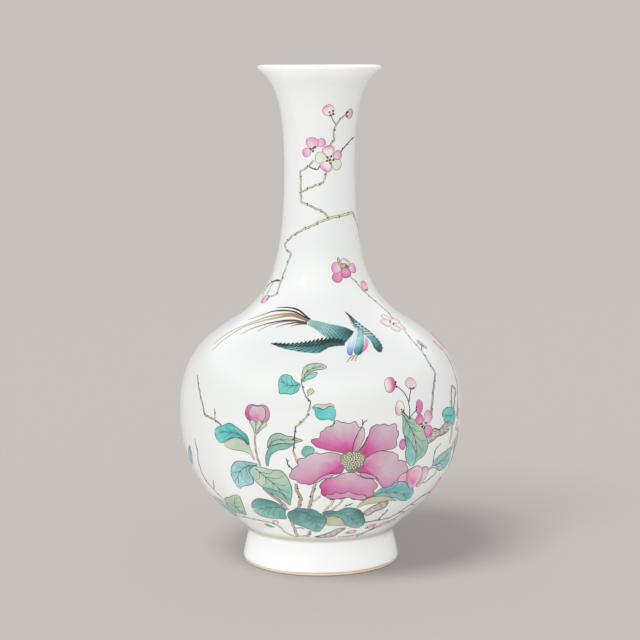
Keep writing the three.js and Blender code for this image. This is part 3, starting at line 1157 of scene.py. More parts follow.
MALLOW_BUDS = (
    Petal(((46.2, 80.8), (47.6, 82), (49.4, 81.4), (51.2, 77.6), (50.7, 70), (47.4, 64.2), (46.4, 66),
           (47.1, 72.9)),
          (47.6, 68), ((0.7,), (0.45, 0.3, 0.3, 0.45, 0.6), (0.6, 0.34, 0.26, 0.5, 0.72)), 4),
    Petal(((38, 81.4), (40.4, 83.6), (42.6, 84.4), (44.8, 83), (46.4, 80.4), (47.1, 72.9), (45.5, 66.6),
           (43.6, 64.6), (41.4, 66.4), (39.4, 71), (38.2, 76)),
          (43.6, 69), ((0.78,), (0.5, 0.34, 0.34, 0.48, 0.66), (0.6, 0.3, 0.28, 0.54, 0.74)), 6),
    Petal(((33.5, 75.5), (35, 79.5), (38, 80), (39.5, 77), (39, 73), (36, 73), (34, 73.5)), (36.5, 75),
          ((0.5,), (0.5,), (0.66, 0.44, 0.44, 0.6, 0.66)), 4),
    Petal(((33.8, 108), (35, 105.5), (35, 102), (34.2, 99.5), (33, 100.5), (32.2, 103), (32.4, 106)),
          (33.8, 103), ((0.66,), (0.7,), (0.8,)), 1),
)
BIG_BUD = (
    Petal(((-30.3, 130), (-29.5, 134), (-27.5, 135.5), (-25, 135), (-23, 135.8), (-21, 134.5), (-20, 131),
           (-20, 126), (-21, 123.5), (-23, 122.3), (-25, 123.5), (-27, 122.3), (-29, 124), (-30.2, 127)),
          (-25, 126), ((0.6,), (0.66, 0.5, 0.5, 0.66, 0.7), (0.7, 0.5, 0.5, 0.8, 0.86)), 1),
    Petal(((-28.6, 128), (-28.4, 132), (-27, 134.6), (-25.2, 134.2), (-23.4, 134.8), (-21.9, 133),
           (-21.5, 129), (-22, 125), (-24, 123), (-26.4, 123), (-28, 125)),
          (-25, 125.5), ((0.66,), (0.4, 0.24, 0.26, 0.42, 0.6), (0.4, 0.14, 0.16, 0.4, 0.7)), 3),
)
BUD_CALYX = (((-26.2, 112.5), (-27.2, 118), (-28.4, 122.6)), ((-25.2, 112.5), (-23, 118), (-21.4, 122.4)))
CALYX_TONES = ((0.3, 0.2, 0.3), (0.15, 0.1, 0.15), (0.1, 0.05, 0.1))
STAMEN_BELL = (
    ((11.8, 84.7), (10.2, 87.3), (8.3, 92.5), (7.7, 98.6), (9.2, 100.8), (12.4, 101.6)),
    ((12.6, 84.7), (14.6, 86.4), (16.8, 91.7), (17.7, 97.6), (15.8, 100.6), (12.8, 101.6)),
)
BELL_TONES = ((0.85, 0.9, 0.85), (0.62, 0.72, 0.62), (0.75, 0.65, 0.75))
PISTILS = (
    ((12.2, 96.5), (12.3, 102), (12.8, 108), (14.3, 115), (15.6, 119), (17, 123.6)),
    ((14.2, 101), (15.6, 104), (17.2, 108), (18.2, 112.5)),
    ((16.2, 121.5), (16.4, 123.6), (16.2, 125.6)), ((17, 123.6), (18.2, 124.6)),
)
BELL_DOTS = 64
BELL_DOT = 1.1
BELL_CENTRE = np.array((12.6, 94.6))
BELL_SPREAD = np.array((4.4, 6.8))
GOLDEN_ANGLE = math.pi * (3 - math.sqrt(5))


def paint_mallow(painting):
    """The large flower: petals back to front, folds, the stamen bell with its dots, and the pistils.

    The dots are on a spiral: each a golden angle on, as far out as the square root of its share.
    """
    painting.petals(MALLOW_PETALS + MALLOW_FOLDS, "rose", 0.5, 0.5, ripple=2.0)
    left, right = STAMEN_BELL
    painting.patch(left, right, BELL_TONES, "stamen", 4)
    painting.line((*left, *right[::-1]), 0.3, "ink", 0.35, 5)
    turns = np.arange(BELL_DOTS) * GOLDEN_ANGLE
    out = np.sqrt((np.arange(BELL_DOTS) + 0.5) / BELL_DOTS)
    spiral = np.stack((out * np.cos(turns), out * np.sin(turns)), axis=1)
    for place in BELL_CENTRE + BELL_SPREAD * spiral:
        painting.dot(place, BELL_DOT, "cream", 0.0, 7)
    for path in PISTILS:
        painting.line(path, (0.5, 0.62, 0.5), "ink", 0.72, 6)


# Leaves

Leaf = namedtuple("Leaf", "left right rib tones level veins enamel")
Tongue = namedtuple("Tongue", "left right tones enamel level")

DEEP = ((0.92, 0.8, 0.7), (0.95, 0.74, 0.6), (0.85, 0.64, 0.54))
BRIGHT = ((0.58, 0.66, 0.58), (0.48, 0.58, 0.5), (0.52, 0.54, 0.48))
PALE = ((0.16, 0.28, 0.2), (0.06, 0.16, 0.1), (0.12, 0.2, 0.14))
SAGE = ((0.3, 0.36, 0.26), (0.2, 0.3, 0.24), (0.26, 0.34, 0.3))
CLEAR = ((0.2, 0.22, 0.14), (0.08, 0.16, 0.06), (0.1, 0.16, 0.12))
DULL = ((0.9, 0.8, 0.9), (0.78, 0.7, 0.84), (0.86, 0.8, 0.9))
LIGHT = ((0.46, 0.4, 0.46), (0.38, 0.32, 0.4), (0.44, 0.38, 0.44))
ONE_PALE = ((0.14, 0.1, 0.14), (0.04, 0.02, 0.08), (0.12, 0.08, 0.14))
ONE_BRIGHT = ((0.66, 0.56, 0.62), (0.56, 0.46, 0.54), (0.6, 0.52, 0.58))

LOW_LEAVES = (
    Leaf(((-16.4, 48.2), (-18.2, 53.7), (-21.8, 57.8), (-25.3, 59), (-29.1, 59), (-32.5, 55),
          (-34.2, 51.2), (-35.4, 46)),
         ((-17.6, 43), (-18, 37.4), (-23.1, 36.3), (-28.4, 35.7), (-33.2, 37.6), (-34.8, 40.8),
          (-35.5, 45)),
         ((-16.6, 47.5), (-19.1, 51), (-22.9, 50.7), (-27.2, 48.9), (-33.4, 45.2)),
         ((0.92, 0.8, 0.7), (0.86, 0.68, 0.54), (0.64, 0.5, 0.4)), 1, 5, "leaf"),
    Leaf(((-14.5, 48.5), (-16.3, 44.4), (-16.6, 37.6), (-14.2, 30.7), (-10.5, 26.3), (-6.5, 21.6),
          (-2.4, 17.7)),
         ((-12.5, 50.6), (-10.6, 52.2), (-7.2, 51.5), (-3.8, 50.9), (0.3, 44.9), (2.8, 39.9), (2.7, 31.7),
          (1, 23.8), (-1.6, 17.7)),
         ((-13.4, 49.3), (-9.2, 47.6), (-5.8, 44), (-3, 35.5), (-1.9, 24.9), (-2, 18.4)),
         ((0.86, 0.95, 0.86), (0.66, 0.86, 0.74), (0.56, 0.7, 0.6)), 2, 4, "leaf"),
    Leaf(((0.3, 47.2), (4.4, 49.4), (7.9, 48.4), (11.2, 51.7), (15.4, 51.1), (19.8, 46.6), (22.4, 39.5),
          (25.4, 29.7), (25.2, 23)),
         ((0.8, 44.6), (2.7, 42.4), (7.1, 42.1), (11.3, 37.4), (13.4, 30.6), (18.3, 23.8), (22.8, 21.7),
          (24.8, 22)),
         ((0.6, 45.6), (6.9, 46.2), (11.3, 44.1), (15.8, 38.4), (20.6, 29.1), (24.4, 23)), DEEP, 1, 5,
         "leaf"),
    Leaf(((19.2, 59.9), (23, 64), (27.4, 70.4), (31.6, 72.8), (36.8, 72.6), (41, 69), (43.8, 65.4),
          (46.8, 57.6), (46.2, 51.5)),
         ((20, 59.6), (25, 61.2), (29.4, 60.8), (36.3, 56.8), (40.6, 52.7), (45.6, 51)),
         ((19.8, 59.8), (27, 64.6), (33.5, 63.6), (40.5, 59), (45.6, 52.4)),
         ((0.34, 0.38, 0.3), (0.2, 0.28, 0.18), (0.22, 0.26, 0.2)), 0, 4, "feather"),
    Leaf(((-25, 90), (-28, 91), (-32, 91.3), (-36, 90), (-38.5, 85), (-39.6, 79), (-39, 72), (-37.6, 66)),
         ((-26, 88.5), (-28.5, 87), (-30, 84), (-28.7, 78), (-29, 73.5), (-32, 71), (-35.3, 69),
          (-37.3, 66.2)),
         ((-25.5, 89.3), (-31, 87), (-35.5, 80), (-37.3, 68)), CLEAR, 1, 4, "feather"),
    Leaf(((-28, 87.5), (-30, 85.5), (-29, 80), (-27, 74), (-24, 70), (-20, 66), (-17, 61.5), (-14.3, 54)),
         ((-26.5, 88.3), (-23, 87.8), (-20, 86.6), (-16, 86.5), (-14, 83), (-12.8, 78), (-12, 72),
          (-12.3, 65), (-13.3, 59), (-13.9, 54)),
         ((-27, 87), (-22, 79), (-18, 72), (-15.5, 64), (-14.2, 56)),
         ((0.08, 0.16, 0.06), (0.14, 0.28, 0.24), (0.48, 0.58, 0.54)), 2, 5, "leaf"),
    Leaf(((-21, 103.5), (-20.5, 109), (-19, 113.5), (-16, 115.5), (-13.5, 114), (-10, 113), (-8.5, 112),
          (-6.5, 110.6)),
         ((-20.6, 103), (-20, 103.8), (-18, 106.5), (-15, 108), (-11.5, 107.6), (-9, 109), (-6.7, 110.3)),
         ((-20.8, 103.3), (-18, 109.5), (-13, 110.8), (-7, 110.5)),
         ((0.5, 0.44, 0.36), (0.34, 0.34, 0.24), (0.2, 0.22, 0.14)), 1, 3, "leaf"),
)
LOW_TONGUES = (
    Tongue(((2.4, 41.6), (6.5, 41.3), (10.5, 38.3), (12.7, 30.7), (15.9, 26.2)),
           ((2.9, 36), (3.2, 31), (3.8, 28.7), (8, 28.4), (15.5, 26)), DULL, "cream", 0),
    Tongue(((16.7, 50.9), (17.9, 55.5), (20.9, 60.2), (25.5, 61.7), (30.7, 60.4), (38, 53.6)),
           ((17.2, 50.8), (18.9, 52.6), (22.9, 54.5), (27.6, 54.4), (31.7, 55.6), (37.6, 53.4)), DULL,
           "cream", 2),
    Tongue(((-25.5, 71), (-21, 70), (-17, 67), (-15, 61), (-14, 55)),
           ((-25, 69.5), (-20.5, 65), (-17, 60.5), (-14.4, 54.5)), ONE_BRIGHT, "leaf", 4),
    Tongue(((-21.8, 89), (-21.8, 97), (-20, 104), (-17, 106.7), (-14, 108), (-10, 107.7)),
           ((-20.9, 89), (-20.5, 93), (-19.5, 98), (-17, 102), (-13, 104), (-10.2, 107.2)), ONE_BRIGHT,
           "leaf", 2),
    Tongue(((-5.6, 97.5), (-7.1, 100), (-7.1, 103), (-6, 106), (-5, 106.6)),
           ((-5.2, 97.6), (-3.8, 100), (-2.2, 103), (-3, 105.5), (-4.8, 106.6)), ONE_BRIGHT, "leaf", 0),
    Tongue(((-36, 24), (-33, 25.4), (-29, 21.8)), ((-35.6, 21.8), (-33, 20.6), (-29.4, 21)), ONE_BRIGHT,
           "leaf", 0),
)
SIDE_LEAVES = (
    Leaf(((-28.3, 105), (-29.5, 112), (-32, 115), (-35, 118), (-38, 119.5), (-41, 117), (-44, 115),
          (-46, 112)),
         ((-29.3, 104), (-31, 108), (-35, 109.3), (-39, 106.7), (-42, 103.5), (-44.5, 105), (-45.7, 109),
          (-46, 111.6)),
         ((-28.8, 104.6), (-33, 112), (-39, 112.5), (-45.4, 111)),
         ((0.84, 0.88, 0.78), (0.64, 0.7, 0.58), (0.5, 0.52, 0.46)), 1, 4, "turquoise"),
    Leaf(((-44.2, 33.5), (-40.7, 46.3), (-39.6, 54), (-39.1, 59.4)),
         ((-46, 33.4), (-53.7, 34.1), (-55.1, 41.4), (-52.3, 51), (-46.2, 55.3), (-42.7, 58.4),
          (-39.4, 59.6)),
         ((-45, 33.6), (-47.5, 42), (-45.5, 50), (-39.8, 58.8)),
         ((0.5, 0.4, 0.5), (0.3, 0.26, 0.3), (0.12, 0.1, 0.1)), 1, 4, "leaf"),
    Leaf(((-55, 31), (-54.6, 37), (-57.1, 45.9), (-65.7, 47), (-71, 44), (-76, 36)),
         ((-56.5, 29.4), (-62, 25), (-66.5, 23), (-72, 24), (-76, 34)),
         ((-55.6, 30.4), (-61, 36), (-67, 37), (-75, 35)), CLEAR, 0, 4, "feather"),
    Leaf(((33.3, 128), (33.6, 122), (33.6, 115), (34.5, 110), (36.5, 107), (38, 100), (39, 92),
          (39.8, 84.5)),
         ((33.6, 128), (37.3, 123.4), (40.6, 120), (41.9, 116.6), (44.4, 113), (45.5, 108.6), (47.6, 99.6),
          (46, 92.1), (42.1, 88.3), (40.3, 84.5)),
         ((33.5, 127), (36.5, 118), (39.5, 108), (41, 97), (40.2, 86)), SAGE, 1, 5, "leaf"),
    Leaf(((69, 121.4), (62.4, 124.4), (58.4, 124), (56.6, 121.6), (57, 118.5)),
         ((70.2, 117.2), (69.2, 111.6), (67.3, 109), (63.4, 112.7), (60.3, 112.9), (57.4, 116.3)),
         ((69.6, 119), (65, 117), (61, 118.5), (57.8, 117.8)), BRIGHT, 2, 3, "turquoise"),
    Leaf(((53.1, 80.2), (53.4, 84.1), (56.9, 87.4), (61.3, 89.4), (66.1, 90.7), (68.3, 90.8)),
         ((54, 79.6), (56.6, 78.4), (61.2, 73.9), (64.9, 73.4), (69.4, 75.3), (71.5, 80.1), (70.4, 85),
          (68.6, 90.4)),
         ((53.5, 80), (59, 81.5), (64, 84), (68, 89.6)), CLEAR, 1, 4, "feather"),
    Leaf(((-8, 152.5), (-9.5, 153.8), (-11.1, 155.4), (-11.9, 158.1), (-13.4, 159.2), (-15.3, 159.3),
          (-17, 157.2)),
         ((-8, 152.1), (-8.4, 149), (-9.3, 146.3), (-11.5, 144.6), (-14.1, 145), (-16.3, 144.8),
          (-16.6, 148), (-17.1, 152.2), (-17.1, 156.8)),
         ((-8, 152.3), (-11, 151), (-14, 152), (-16.8, 156)), BRIGHT, 1, 4, "turquoise"),
    Leaf(((-67.6, 93.5), (-68, 85), (-72, 76)),
         ((-68, 93.5), (-71.4, 88.6), (-74.6, 81.9), (-77, 74.8), (-73, 75)),
         ((-67.8, 93), (-70, 85), (-72.6, 76)), CLEAR, 1, 2, "feather"),
    Leaf(((-7.2, 153.6), (-7.6, 158.3), (-7.2, 164.7), (-5.2, 168), (-1.8, 169.2), (0.7, 168.7),
          (3.1, 166.1)),
         ((-6.9, 153.6), (-6.3, 157.4), (-4.6, 161), (-1.7, 163.6), (1.3, 164.2), (3.1, 165.7)),
         ((-7, 154.4), (-6, 161), (-2, 165.6), (2.9, 166)), PALE, 1, 4, "leaf"),
)
SIDE_TONGUES = (
    Tongue(((-26.3, 93.5), (-27.8, 100), (-29, 106), (-31, 109), (-34, 109.5), (-38, 107), (-41, 103.3)),
           ((-26.8, 93), (-29, 98), (-33, 99.5), (-37, 99.5), (-40, 101), (-41, 102.8)), ONE_PALE, "leaf",
           0),
    Tongue(((34.2, 110.3), (34.8, 107), (35.5, 101.9), (35.4, 95.1), (36.6, 89.8), (39, 84.7)),
           ((34.7, 110.3), (36.5, 107.7), (39, 101), (41.2, 93.4), (40.9, 87.6), (39.8, 84.6)),
           ((0.46, 0.4, 0.36), (0.2, 0.16, 0.14), (0.16, 0.14, 0.14)), "feather", 4),
    Tongue(((62.4, 111.8), (66.4, 109.6), (67.4, 104), (66.8, 99), (66, 94.3)),
           ((62.2, 111), (65.2, 108), (65.6, 103.5), (65.4, 99), (65.6, 94.5)), ONE_PALE, "leaf", 1),
    Tongue(((50.7, 78.4), (53, 80.6), (56, 80.4), (58.6, 77.6)),
           ((51, 77.6), (53.4, 78.8), (55.8, 78.4), (58.3, 76.6)), ONE_PALE, "leaf", 3),
    Tongue(((-7.1, 154), (-6.4, 156.9), (-5, 159.5), (-2.9, 161.4), (-1.1, 161.9)),
           ((-6.8, 153.8), (-5.2, 155.9), (-3.4, 156.8), (-1.7, 159), (-0.9, 161.7)), LIGHT, "turquoise",
           3),
    Tongue(((-4.5, 144), (-5.2, 147), (-3.6, 149.5)), ((-4.2, 144), (-2.4, 146.6), (-3.3, 149.5)),
           ONE_PALE, "leaf", 1),
    Tongue(((-3.3, 135.5), (-1.4, 135.2), (1, 133.7), (3.7, 136), (5.6, 135.1)),
           ((-3.3, 135.2), (-2.1, 133), (-1.9, 129.7), (-0.7, 126.6), (1, 126), (2.9, 126.7), (5, 125.5),
            (5.8, 129.6), (5.8, 134.1)),
           ONE_BRIGHT, "turquoise", 1),
    Tongue(((-3.1, 135.7), (-1.4, 137.6), (1.5, 137), (3.9, 138.2), (5.6, 136)),
           ((-3.1, 135.6), (-0.9, 135.2), (1.5, 133.7), (3.7, 136.4), (5.4, 135.1)), ONE_PALE, "leaf", 2),
    Tongue(((-25.9, 113.6), (-26.9, 119.3), (-28.4, 122), (-27, 124)),
           ((-25.4, 113.7), (-25.4, 118.9), (-25.7, 122.8), (-26.7, 124)), ONE_PALE, "leaf", 5),
    Tongue(((-25.4, 113.7), (-23.8, 119.2), (-22.5, 121.8), (-21.7, 123.8)),
           ((-25, 113.7), (-22.9, 118), (-21, 120.6), (-21.4, 123.8)), ONE_PALE, "leaf", 5),
    Tongue(((-25.7, 113.6), (-25.4, 119.5), (-24.6, 124.4)),
           ((-25.1, 113.7), (-23.3, 119.8), (-22.9, 122.7), (-24.3, 124.4)), ONE_PALE, "leaf", 6),
)


def paint_leaves(painting, leaves, tongues):
    """Folded strips and whole leaves, each at its own level."""
    for tongue in tongues:
        painting.tongue(*tongue)
    for leaf in leaves:
        painting.leaf(*leaf)


# Branches, stems and old wood

Stem = namedtuple("Stem", "path width wash crook thorns")
Bark = namedtuple("Bark", "left right")

LOW_STEMS = (
    Stem(((-10, 76), (-10, 73.7), (-9.7, 68.1), (-8.4, 62.1), (-9.9, 54.1), (-10.4, 52)), (1.7, 2.4, 2.2),
         0.5, 0.2, 3),
    Stem(((-2.2, 77), (-2.3, 75.2), (-3.4, 68.4), (-4.1, 61.1), (-5.4, 51)), (1.8, 2, 2.3), 0.42, 0.15, 3),
    Stem(((-0.3, 64.8), (-2.4, 60.5), (-3.8, 59.4)), (1.1, 1.3), 0.25, 0.05, 0),
    Stem(((5.9, 62), (4.2, 54.4), (1.6, 49)), (1.7, 1.6), 0.3, 0.05, 0),
    Stem(((10, 61.6), (8.1, 55.5), (5.2, 50)), (1.2, 1.3), 0.18, 0.05, 0),
    Stem(((11.2, 53.4), (12.7, 55), (14.8, 56.6)), (0.8, 0.6), 0.45, 0.05, 2),
    Stem(((-24.8, 70), (-24.4, 69.5), (-22.1, 64.6), (-19.1, 60.2), (-16.9, 54.6), (-15.7, 49)),
         (1.6, 2.6, 2.4), 0.5, 0.15, 2),
    Stem(((-26, 114), (-26, 106.3), (-25.7, 99.7), (-25.3, 95.3), (-24.3, 88.7)), (1, 1.1, 1.2), 0.4, 0.03,
         0),
    Stem(((-10.5, 102), (-9.4, 96.1), (-8.9, 92.7)), (1, 1.1), 0.36, 0.05, 0),
    Stem(((-13.5, 96.9), (-12.9, 94.1), (-13, 91.9), (-12.1, 90.2), (-10.8, 87.7)), (0.6, 0.9, 0.7), 0.6,
         0.05, 2),
    Stem(((-15.8, 36), (-15.9, 24.5), (-16.2, 12)), (2.2, 1.8, 2.4), 0.4, 0.2, 2),
    Stem(((-15.9, 24.5), (-13.8, 23.4), (-11.4, 24.6), (-10, 22)), (1.3, 1), 0.4, 0.1, 0),
    Stem(((-6.4, 19.5), (-7.9, 13.4), (-10, 10.6)), (1.8, 2, 2.2), 0.5, 0.15, 1),
    Stem(((-60, 27), (-46.8, 29.7), (-38, 29.7), (-28.3, 28.4), (-25.4, 24.4), (-23.9, 14.9), (-19.8, 10),
          (-14.1, 10.6), (-7.1, 12)),
         (1.4, 1.5, 1.2, 1.2), 0.36, 0.15, 3),
    Stem(((-27.6, 28.6), (-27, 32), (-25, 33), (-24, 30.5), (-25.4, 28.4)), 0.95, 0.3, 0.05, 0),
    Stem(((25.4, 29.7), (32.5, 30.3), (41.2, 30.5), (45.9, 34.6), (51, 43.6), (57.8, 50.5), (66.1, 52)),
         (1.5, 1.3, 1.2, 1.1), 0.5, 0.2, 3),
    Stem(((33.4, 29.9), (34.2, 36.7), (35.6, 42), (34.6, 44.6)), (1, 1.2, 0.9), 0.4, 0.1, 1),
    Stem(((26, 8), (29.4, 9.6), (35.2, 17), (40.5, 22.6), (47.6, 26), (53.7, 34.4), (60, 41)),
         (1, 1.2, 0.9, 0.7), 0.45, 0.15, 2),
    Stem(((12, 9.6), (20, 9.4), (30, 12), (41.8, 19), (52, 24)), (1, 0.9, 0.7), 0.36, 0.15, 1),
    Stem(((45.9, 34.6), (49, 35.6), (52, 35)), (0.9, 0.6), 0.55, 0.05, 0),
    Stem(((51, 43.6), (54, 43), (56.5, 41.6)), (0.9, 0.6), 0.6, 0.05, 0),
)
LOW_BARK = (
    Bark(((21.8, 40.5), (21.8, 46.1), (24.3, 50), (27.6, 53.4), (30.5, 55.3), (33, 54)),
         ((22.6, 40), (25.7, 40.3), (27.5, 44.6), (31.4, 45.8), (32.7, 49.1), (33.4, 53.4))),
    Bark(((-4.8, 10.7), (1.2, 13.7), (7.3, 19.4), (11.4, 24), (15.3, 23.6)),
         ((-4.4, 10), (2.9, 9.6), (8.8, 11.3), (12.3, 16.8), (15.5, 23))),
)
SIDE_STEMS = (
    Stem(((-7.8, 156.6), (-7.5, 152.8), (-6.8, 148), (-5.5, 142.7), (-3.8, 139.6), (-4.1, 135)),
         (0.6, 0.7, 0.8), 0.4, 0.1, 2),
    Stem(((-4.1, 135), (-4.9, 129.7), (-6.5, 125.4), (-9.5, 120.5)), (1, 1, 1.1), 0.32, 0.08, 2),
    Stem(((-9.5, 120.8), (-9.8, 114.6), (-10, 108.2), (-10.5, 101.6)), (0.94, 0.9, 0.94), 0.6, 0.1, 3),
    Stem(((-5.5, 142.5), (-4.6, 144.4)), 0.5, 0.5, 0.02, 0),
    Stem(((5.2, 126), (5.6, 123.4), (3.5, 121)), (0.6, 0.7), 0.45, 0.04, 0),
    Stem(((-63, 150), (-58, 140), (-54, 130), (-52, 122), (-46, 120.5), (-42, 117)), (0.7, 0.9, 1.1, 0.9),
         0.45, 0.15, 4),
    Stem(((-46, 129), (-45.5, 121)), (0.5, 0.7), 0.5, 0.06, 1),
    Stem(((-61, 101), (-60, 92), (-62, 80), (-62, 66), (-58, 58), (-54, 48)), (0.6, 0.8, 0.9, 0.8), 0.45,
         0.15, 4),
    Stem(((-53.5, 68.8), (-56, 62), (-58, 58)), (0.5, 0.7), 0.5, 0.06, 1),
    Stem(((58.1, 193.9), (56.4, 188.1), (55.7, 181.7), (56.1, 172.9), (55.5, 165.8), (56.2, 157.9),
          (57, 152.9)),
         (0.9, 1, 1.2), 0.34, 0.12, 4),
    Stem(((57, 152.9), (54.2, 146.5), (52.3, 141.5), (50.8, 134.4), (49.6, 129.4), (48.8, 121)),
         (1.3, 1.7, 2), 0.42, 0.12, 3),
    Stem(((56.1, 172.9), (58, 175), (59.6, 177.6)), (0.9, 0.8), 0.34, 0.04, 0),
    Stem(((54, 236), (59.1, 230.1), (63.2, 224.5), (66.2, 216.5), (64.8, 213.7), (61.5, 208)),
         (0.7, 0.8, 0.9), 0.4, 0.08, 2),
    Stem(((68.9, 139.3), (66.7, 134.4), (65.6, 128), (65.7, 122.4)), (1.6, 2, 2.2), 0.5, 0.15, 2),
    Stem(((68.9, 139.3), (73.3, 134.9), (70.5, 130), (69.4, 125.9), (67.6, 122)), (1.6, 1.8, 1.8), 0.5,
         0.15, 1),
    Stem(((80, 172), (80, 156), (78.5, 147.8), (78.5, 139), (76, 131), (74.4, 123.4), (72, 114.2)),
         (1, 1.4, 1.8), 0.45, 0.12, 3),
    Stem(((56.9, 97.9), (52.9, 94), (52.9, 88.8), (53.2, 84)), (0.6, 0.8, 0.9), 0.4, 0.06, 1),
    Stem(((58.2, 77.9), (58.4, 75), (58.2, 71.2), (55, 70), (52.2, 66.1), (49.2, 67.7)), (0.9, 0.7, 0.5),
         0.4, 0.06, 1),
    Stem(((32.1, 148.5), (33.9, 145.7), (35.7, 141.6), (36.8, 137), (37.2, 130), (36.9, 122)),
         (0.7, 0.75, 0.8), 0.4, 0.03, 0),
    Stem(((39.3, 145), (38, 140), (37.2, 135)), (0.7, 0.75), 0.4, 0.03, 0),
    Stem(((33.8, 129), (35.4, 125.5), (36.8, 122)), (0.9, 0.8), 0.3, 0.03, 0),
    Stem(((40.4, 128), (38, 125), (36.9, 122)), (0.7, 0.7), 0.4, 0.03, 0),
)
SIDE_BARK = (
    Bark(((46.5, 105.8), (49.1, 108.8), (51.1, 111.6), (55, 109.5), (57.5, 112.1), (60.2, 113.8),
          (63, 114)),
         ((47.5, 100.4), (50.9, 102.4), (54.5, 104.6), (58, 104.4), (61.7, 105.6), (63.8, 107))),
)
NECK_STEMS = (
    Stem(((74, 294), (66, 299), (61, 301), (45, 300), (30, 299), (15, 297.5), (0, 295), (-15, 291),
          (-30, 287.5), (-45, 283), (-60, 276)),
         (1.7, 1.7, 1.5, 1.2, 0.95), 0.36, 0.15, 8),
    Stem(((-60, 276), (-52, 272), (-42, 270), (-46, 262), (-49, 254), (-50, 243), (-48, 237), (-56, 234)),
         (1, 1.1, 0.95, 0.9), 0.36, 0.12, 4),
    Stem(((-74, 233.5), (-80, 237), (-76.5, 242.2), (-67.9, 245.6)), (0.6, 0.8, 0.9), 0.4, 0.06, 1),
    Stem(((-67.9, 245.6), (-59.4, 247.6), (-51.1, 247.9)), (1, 1.3, 1), 0.95, 0.05, 0),
    Stem(((-75.7, 256.1), (-78, 250), (-76, 246.8), (-68.3, 245.8)), (0.5, 0.6), 0.3, 0.04, 0),
    Stem(((-65, 235.2), (-65.7, 242.5), (-63.6, 245.9)), 0.5, 0.2, 0.04, 0),
    Stem(((14, 298), (4, 303), (-10, 306), (-30, 310), (-31, 318), (-31, 326), (-33, 333), (-18, 337),
          (-9, 342)),
         (1.3, 1.1, 1, 1), 0.36, 0.12, 5),
    Stem(((-30, 317.5), (-10, 322), (6, 325), (9, 329), (13, 336)), (1.1, 1, 0.9), 0.36, 0.08, 3),
    Stem(((-19, 337.6), (-8, 335), (-3, 334.6), (1, 338)), (0.9, 0.8), 0.6, 0.05, 1),
    Stem(((15, 352), (24, 357.5), (22, 363), (26, 369), (35, 374), (41, 376.4)), (1, 0.95, 0.8), 0.38,
         0.08, 3),
    Stem(((26, 369), (21, 372), (17, 376.5)), (0.7, 0.6), 0.5, 0.04, 0),
    Stem(((34, 347), (46, 353), (60, 357), (72, 359)), (0.9, 0.85, 0.8), 0.5, 0.08, 3),
    Stem(((36, 253), (44, 248), (50, 241), (57, 233), (62, 228)), (0.9, 1, 0.9), 0.38, 0.06, 2),
)
BARK_TONES = ((0.3, 0.05, 0.45), (0.5, 0.1, 0.35), (0.2, 0.2, 0.5), (0.45, 0.1, 0.4))
BARK_EDGE = (0.5, 0.8, 0.4)
BARK_EDGE_WASH = (0.5, 0.8, 0.6)
BARK_CROOK = 0.14
BARK_GRAIN = Hatch(5, (0.2, 0.6, 0.2), (0.4, 0.85), 0.16, 3)
BARK_ROWS = ((0.18, 0.3), (0.42, 0.5), (0.68, 0.84))


def paint_stems(painting, stems, barks):
    """Stems and twigs, and old wood: a streaked wash with grain and a rough dark outline."""
    for stem in stems:
        painting.stem(*stem)
    for bark in barks:
        sides, radius = painting.patch(*bark, BARK_TONES, "branch", 1)
        for side in sides:
            rough = crooked_line(side, BARK_CROOK)
            painting.stroke(rough, radius, BARK_EDGE, "ink", BARK_EDGE_WASH, 3)
        hatch(painting, sides, radius, BARK_ROWS, BARK_GRAIN)


# Small blossoms and buds

BLUSH = Shade(((0.0,), (0.06, 0.0, 0.1, 0.0, 0.06), (0.75, 0.35, 0.3, 0.35, 0.75)), "blush", "rose", 0.7)
PINK = Shade(((0.22,), (0.38,), (0.74, 0.52, 0.44, 0.52, 0.74)), "blush", "rose", 0.85)
DEEP_PINK = Shade(((0.55,), (0.66,), (0.9, 0.76, 0.66, 0.76, 0.9)), "blush", "ink", 0.4)
WHITE = Shade(((0.3,), (0.08,), (0.1,)), "cream", "ink", 0.2)

Blossom = namedtuple("Blossom", "heart petals stamens")

NECK_BLOSSOMS = (
    Blossom((16.5, 342.1),
            (((29.5, 345.4), 4, 3.4, PINK), ((14.4, 348.7), 4.4, 4.6, BLUSH), ((11, 337.4), 4, 4.6, BLUSH),
             ((3.2, 343.6), 4.8, 4.4, WHITE), ((27.6, 338.8), 4.4, 4.1, WHITE)),
            ((12.4, 344.2), (19, 344.9), (22.9, 342), (11.8, 341.4), (17.2, 339.5), (16.5, 342.1))),
    Blossom((-12.3, 349.9),
            (((2.6, 355.2), 3.6, 3, PINK), ((-20.4, 347.9), 3.6, 3.3, PINK),
             ((-11.2, 354.8), 4.4, 4.9, PINK)),
            ((-9.7, 351.2), (-7, 352.2), (-10.3, 348.9), (-13.8, 350.7))),
    Blossom((19, 376.6), (((13.6, 379.8), 4.6, 4.4, BLUSH),),
            ((14.8, 378.6), (19.9, 379.6), (16, 376.2), (21, 377.2))),
    Blossom((42, 376), (((49.6, 377), 4.2, 3.6, PINK),), ((43, 377.6), (45, 375.4), (45.4, 378.4))),
    Blossom((31, 258.6),
            (((34.6, 262.6), 3.2, 4.4, BLUSH), ((44.2, 258.2), 3.8, 3.8, PINK),
             ((21.4, 259.2), 4.2, 4.2, PINK), ((21.4, 252.2), 4.6, 3.9, DEEP_PINK),
             ((32.9, 255.2), 4.2, 4.4, DEEP_PINK)),
            ((37.6, 259.6), (35, 260.6))),
    Blossom((56.5, 238.6), (((56.5, 243), 4.2, 3.8, PINK),), ((55, 239.6), (58.5, 239.6))),
    Blossom((-57, 233.2), (((-62.5, 231), 4.4, 3.8, PINK),), ((-58.6, 233.8), (-58.8, 231))),
)
